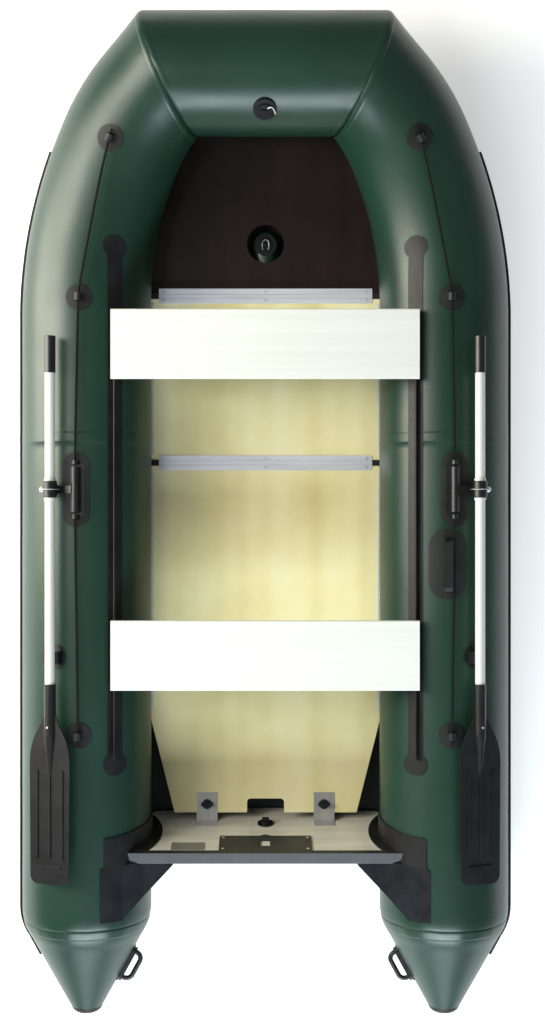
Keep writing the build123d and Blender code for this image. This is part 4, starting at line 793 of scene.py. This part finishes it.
def resample(points, spacing):
    lengths = np.concatenate([[0], np.cumsum(np.linalg.norm(np.diff(points, axis=0), axis=1))])
    stops = np.linspace(0, lengths[-1], max(2, round(lengths[-1] / spacing)))
    return np.stack([np.interp(stops, lengths, points[:, i]) for i in range(3)], axis=1), lengths[-1]


STRANDS = 3
STRAND_R = 0.0025
LAY_L = 0.034
STRAND_SIDES = 8


def twisted_rope(name, route, side, body="hull"):
    points, length = resample(smooth_route(route), 0.0026)
    tangents = np.gradient(points, axis=0)
    tangents /= np.linalg.norm(tangents, axis=1)[:, None]
    across = np.cross(tangents, [0, 0, 1.0])
    across /= np.linalg.norm(across, axis=1)[:, None]
    over = np.cross(across, tangents)
    stops = np.linspace(0, length, len(points))
    verts, faces = [], []
    for strand in range(STRANDS):
        start = len(verts)
        for p, u, v, d in zip(points, across, over, stops):
            turn = 2 * pi * (d / LAY_L + strand / STRANDS)
            centre = p + (LINE_R - STRAND_R) * (cos(turn) * u + sin(turn) * v)
            for k in range(STRAND_SIDES):
                a = turn + 2 * pi * k / STRAND_SIDES
                verts.append(centre + STRAND_R * (cos(a) * u + sin(a) * v))
        faces += [tuple(start + q for q in f) for f in grid_faces(len(points), STRAND_SIDES, True)]
        last = start + (len(points) - 1) * STRAND_SIDES
        faces.append(tuple(start + k for k in range(STRAND_SIDES)))
        faces.append(tuple(last + k for k in reversed(range(STRAND_SIDES))))
    made = add_mesh(name, verts, faces, rope_black, body=body)
    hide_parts(f"{side}_lifeline")
    return made


for side, sign in SIDES:
    for part, route in (("fore", FORE_ROUTE), ("aft", AFT_ROUTE)):
        twisted_rope(f"{side}_lifeline_{part}", [(sign * x, y, z) for x, y, z in route], side)


# ---- valve tether and pull ring ----
def wire(name, points, radius, look, body, sides=10):
    """A round wire through points, rounded off between them, with closed ends."""
    path, _ = resample(smooth_route(points), radius)
    tangents = np.gradient(path, axis=0)
    tangents /= np.linalg.norm(tangents, axis=1)[:, None]
    across = np.cross(tangents, [0.0, 0.3, 1.0])
    across /= np.linalg.norm(across, axis=1)[:, None]
    over = np.cross(across, tangents)
    turns = [2 * pi * k / sides for k in range(sides)]
    verts = [p + radius * (cos(a) * u + sin(a) * v) for p, u, v in zip(path, across, over) for a in turns]
    faces = grid_faces(len(path), sides, True)
    faces += [tuple(range(sides)), tuple(len(verts) - 1 - k for k in range(sides))]
    return add_mesh(name, verts, faces, look, body=body)


def middle_of(node):
    low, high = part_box(node)
    return (np.array(low) + np.array(high)) / 2, np.array(high)


RING_R = 0.0013
ring_middle, ring_top = middle_of("keel_valve_cap")
ring_middle[2] = ring_top[2]
ring_route = [
    (-0.010, -0.019, -0.004), (-0.013, -0.006, 0.0022), (-0.012, 0.008, 0.0022), (-0.004, 0.017, 0.0020),
    (0.006, 0.017, 0.0020), (0.012, 0.008, 0.0022), (0.013, -0.006, 0.0022), (0.010, -0.019, -0.004),
]
ring_points = [tuple(ring_middle + p) for p in ring_route]
wire("keel_valve_ring", ring_points, RING_R, stainless, "keel_valve_cap")

TETHER_R = 0.0022
CAP_LEAN = radians(49)
cap_middle, _ = middle_of("bow_valve_cap")
up_face = np.array([0, cos(CAP_LEAN), sin(CAP_LEAN)])
off_face = np.array([0, -sin(CAP_LEAN), cos(CAP_LEAN)])
tether_route = [
    (0.009, 0.008, 0.002), (0.017, 0.015, 0.004), (0.026, 0.013, 0.003),
    (0.033, 0.000, 0.0022), (0.036, -0.013, 0.0016),
]
tether_points = [tuple(cap_middle + (x, 0, 0) + t * up_face + n * off_face) for x, t, n in tether_route]
wire("bow_valve_tether", tether_points, TETHER_R, oar_white, "bow_valve_cap")

# ---- stage, light and camera ----
STAGE_HALF = 30
STAGE_Z = -0.001
floor_mesh = bpy.data.meshes.new("stage_floor")
corners = [(x * STAGE_HALF, y * STAGE_HALF, STAGE_Z) for x, y in ((-1, -1), (1, -1), (1, 1), (-1, 1))]
floor_mesh.from_pydata(corners, [], [(0, 1, 2, 3)])
stage_floor = bpy.data.objects.new("stage_floor", floor_mesh)
bpy.context.scene.collection.objects.link(stage_floor)
floor_look = Shader("stage_floor", 0.8)
floor_tones = ((0.3, (0.86, 0.86, 0.86)), (0.7, (0.90, 0.90, 0.90)))
floor_look.colour(floor_look.ramp(floor_look.noise(0.6, 3.0), floor_tones))
floor_look.bsdf.inputs["Emission Color"].default_value = (1.0, 1.0, 1.0, 1)
floor_look.bsdf.inputs["Emission Strength"].default_value = 0.42
floor_mesh.materials.append(floor_look.material)

world = bpy.data.worlds.new("studio")
bpy.context.scene.world = world
world.use_nodes = True
world.node_tree.nodes["Background"].inputs[0].default_value = (0.93, 0.97, 1.0, 1)
world.node_tree.nodes["Background"].inputs[1].default_value = 0.22
bpy.context.scene.view_settings.view_transform = "Standard"


def softbox(name, place, target, size, power, colour):
    lamp = bpy.data.lights.new(name, "AREA")
    lamp.shape = "RECTANGLE"
    lamp.size, lamp.size_y = size
    lamp.energy = power
    lamp.color = colour
    holder = bpy.data.objects.new(name, lamp)
    bpy.context.scene.collection.objects.link(holder)
    holder.location = place
    holder.rotation_euler = (Vector(target) - Vector(place)).to_track_quat("-Z", "Y").to_euler()


softbox("key_port", (-5.0, 1.2, 2.3), (0, 0.3, 0.3), (2.6, 5.5), 560, (1.0, 0.95, 0.80))
softbox("stern", (0.0, -5.6, 3.4), (0, 0, 0.3), (4.0, 2.2), 460, (0.84, 0.94, 1.0))
softbox("top_port", (-3.6, 0.8, 4.6), (-0.3, 0.2, 0.2), (1.2, 4.5), 95, (1.0, 0.99, 0.96))

camera = bpy.data.cameras.new("camera")
camera.sensor_width = 36
camera.lens = 50.35
holder = bpy.data.objects.new("camera", camera)
bpy.context.scene.collection.objects.link(holder)
holder.location = (0.026, 0.033, 5.5)
holder.rotation_euler = (0, 0, 0)
bpy.context.scene.camera = holder
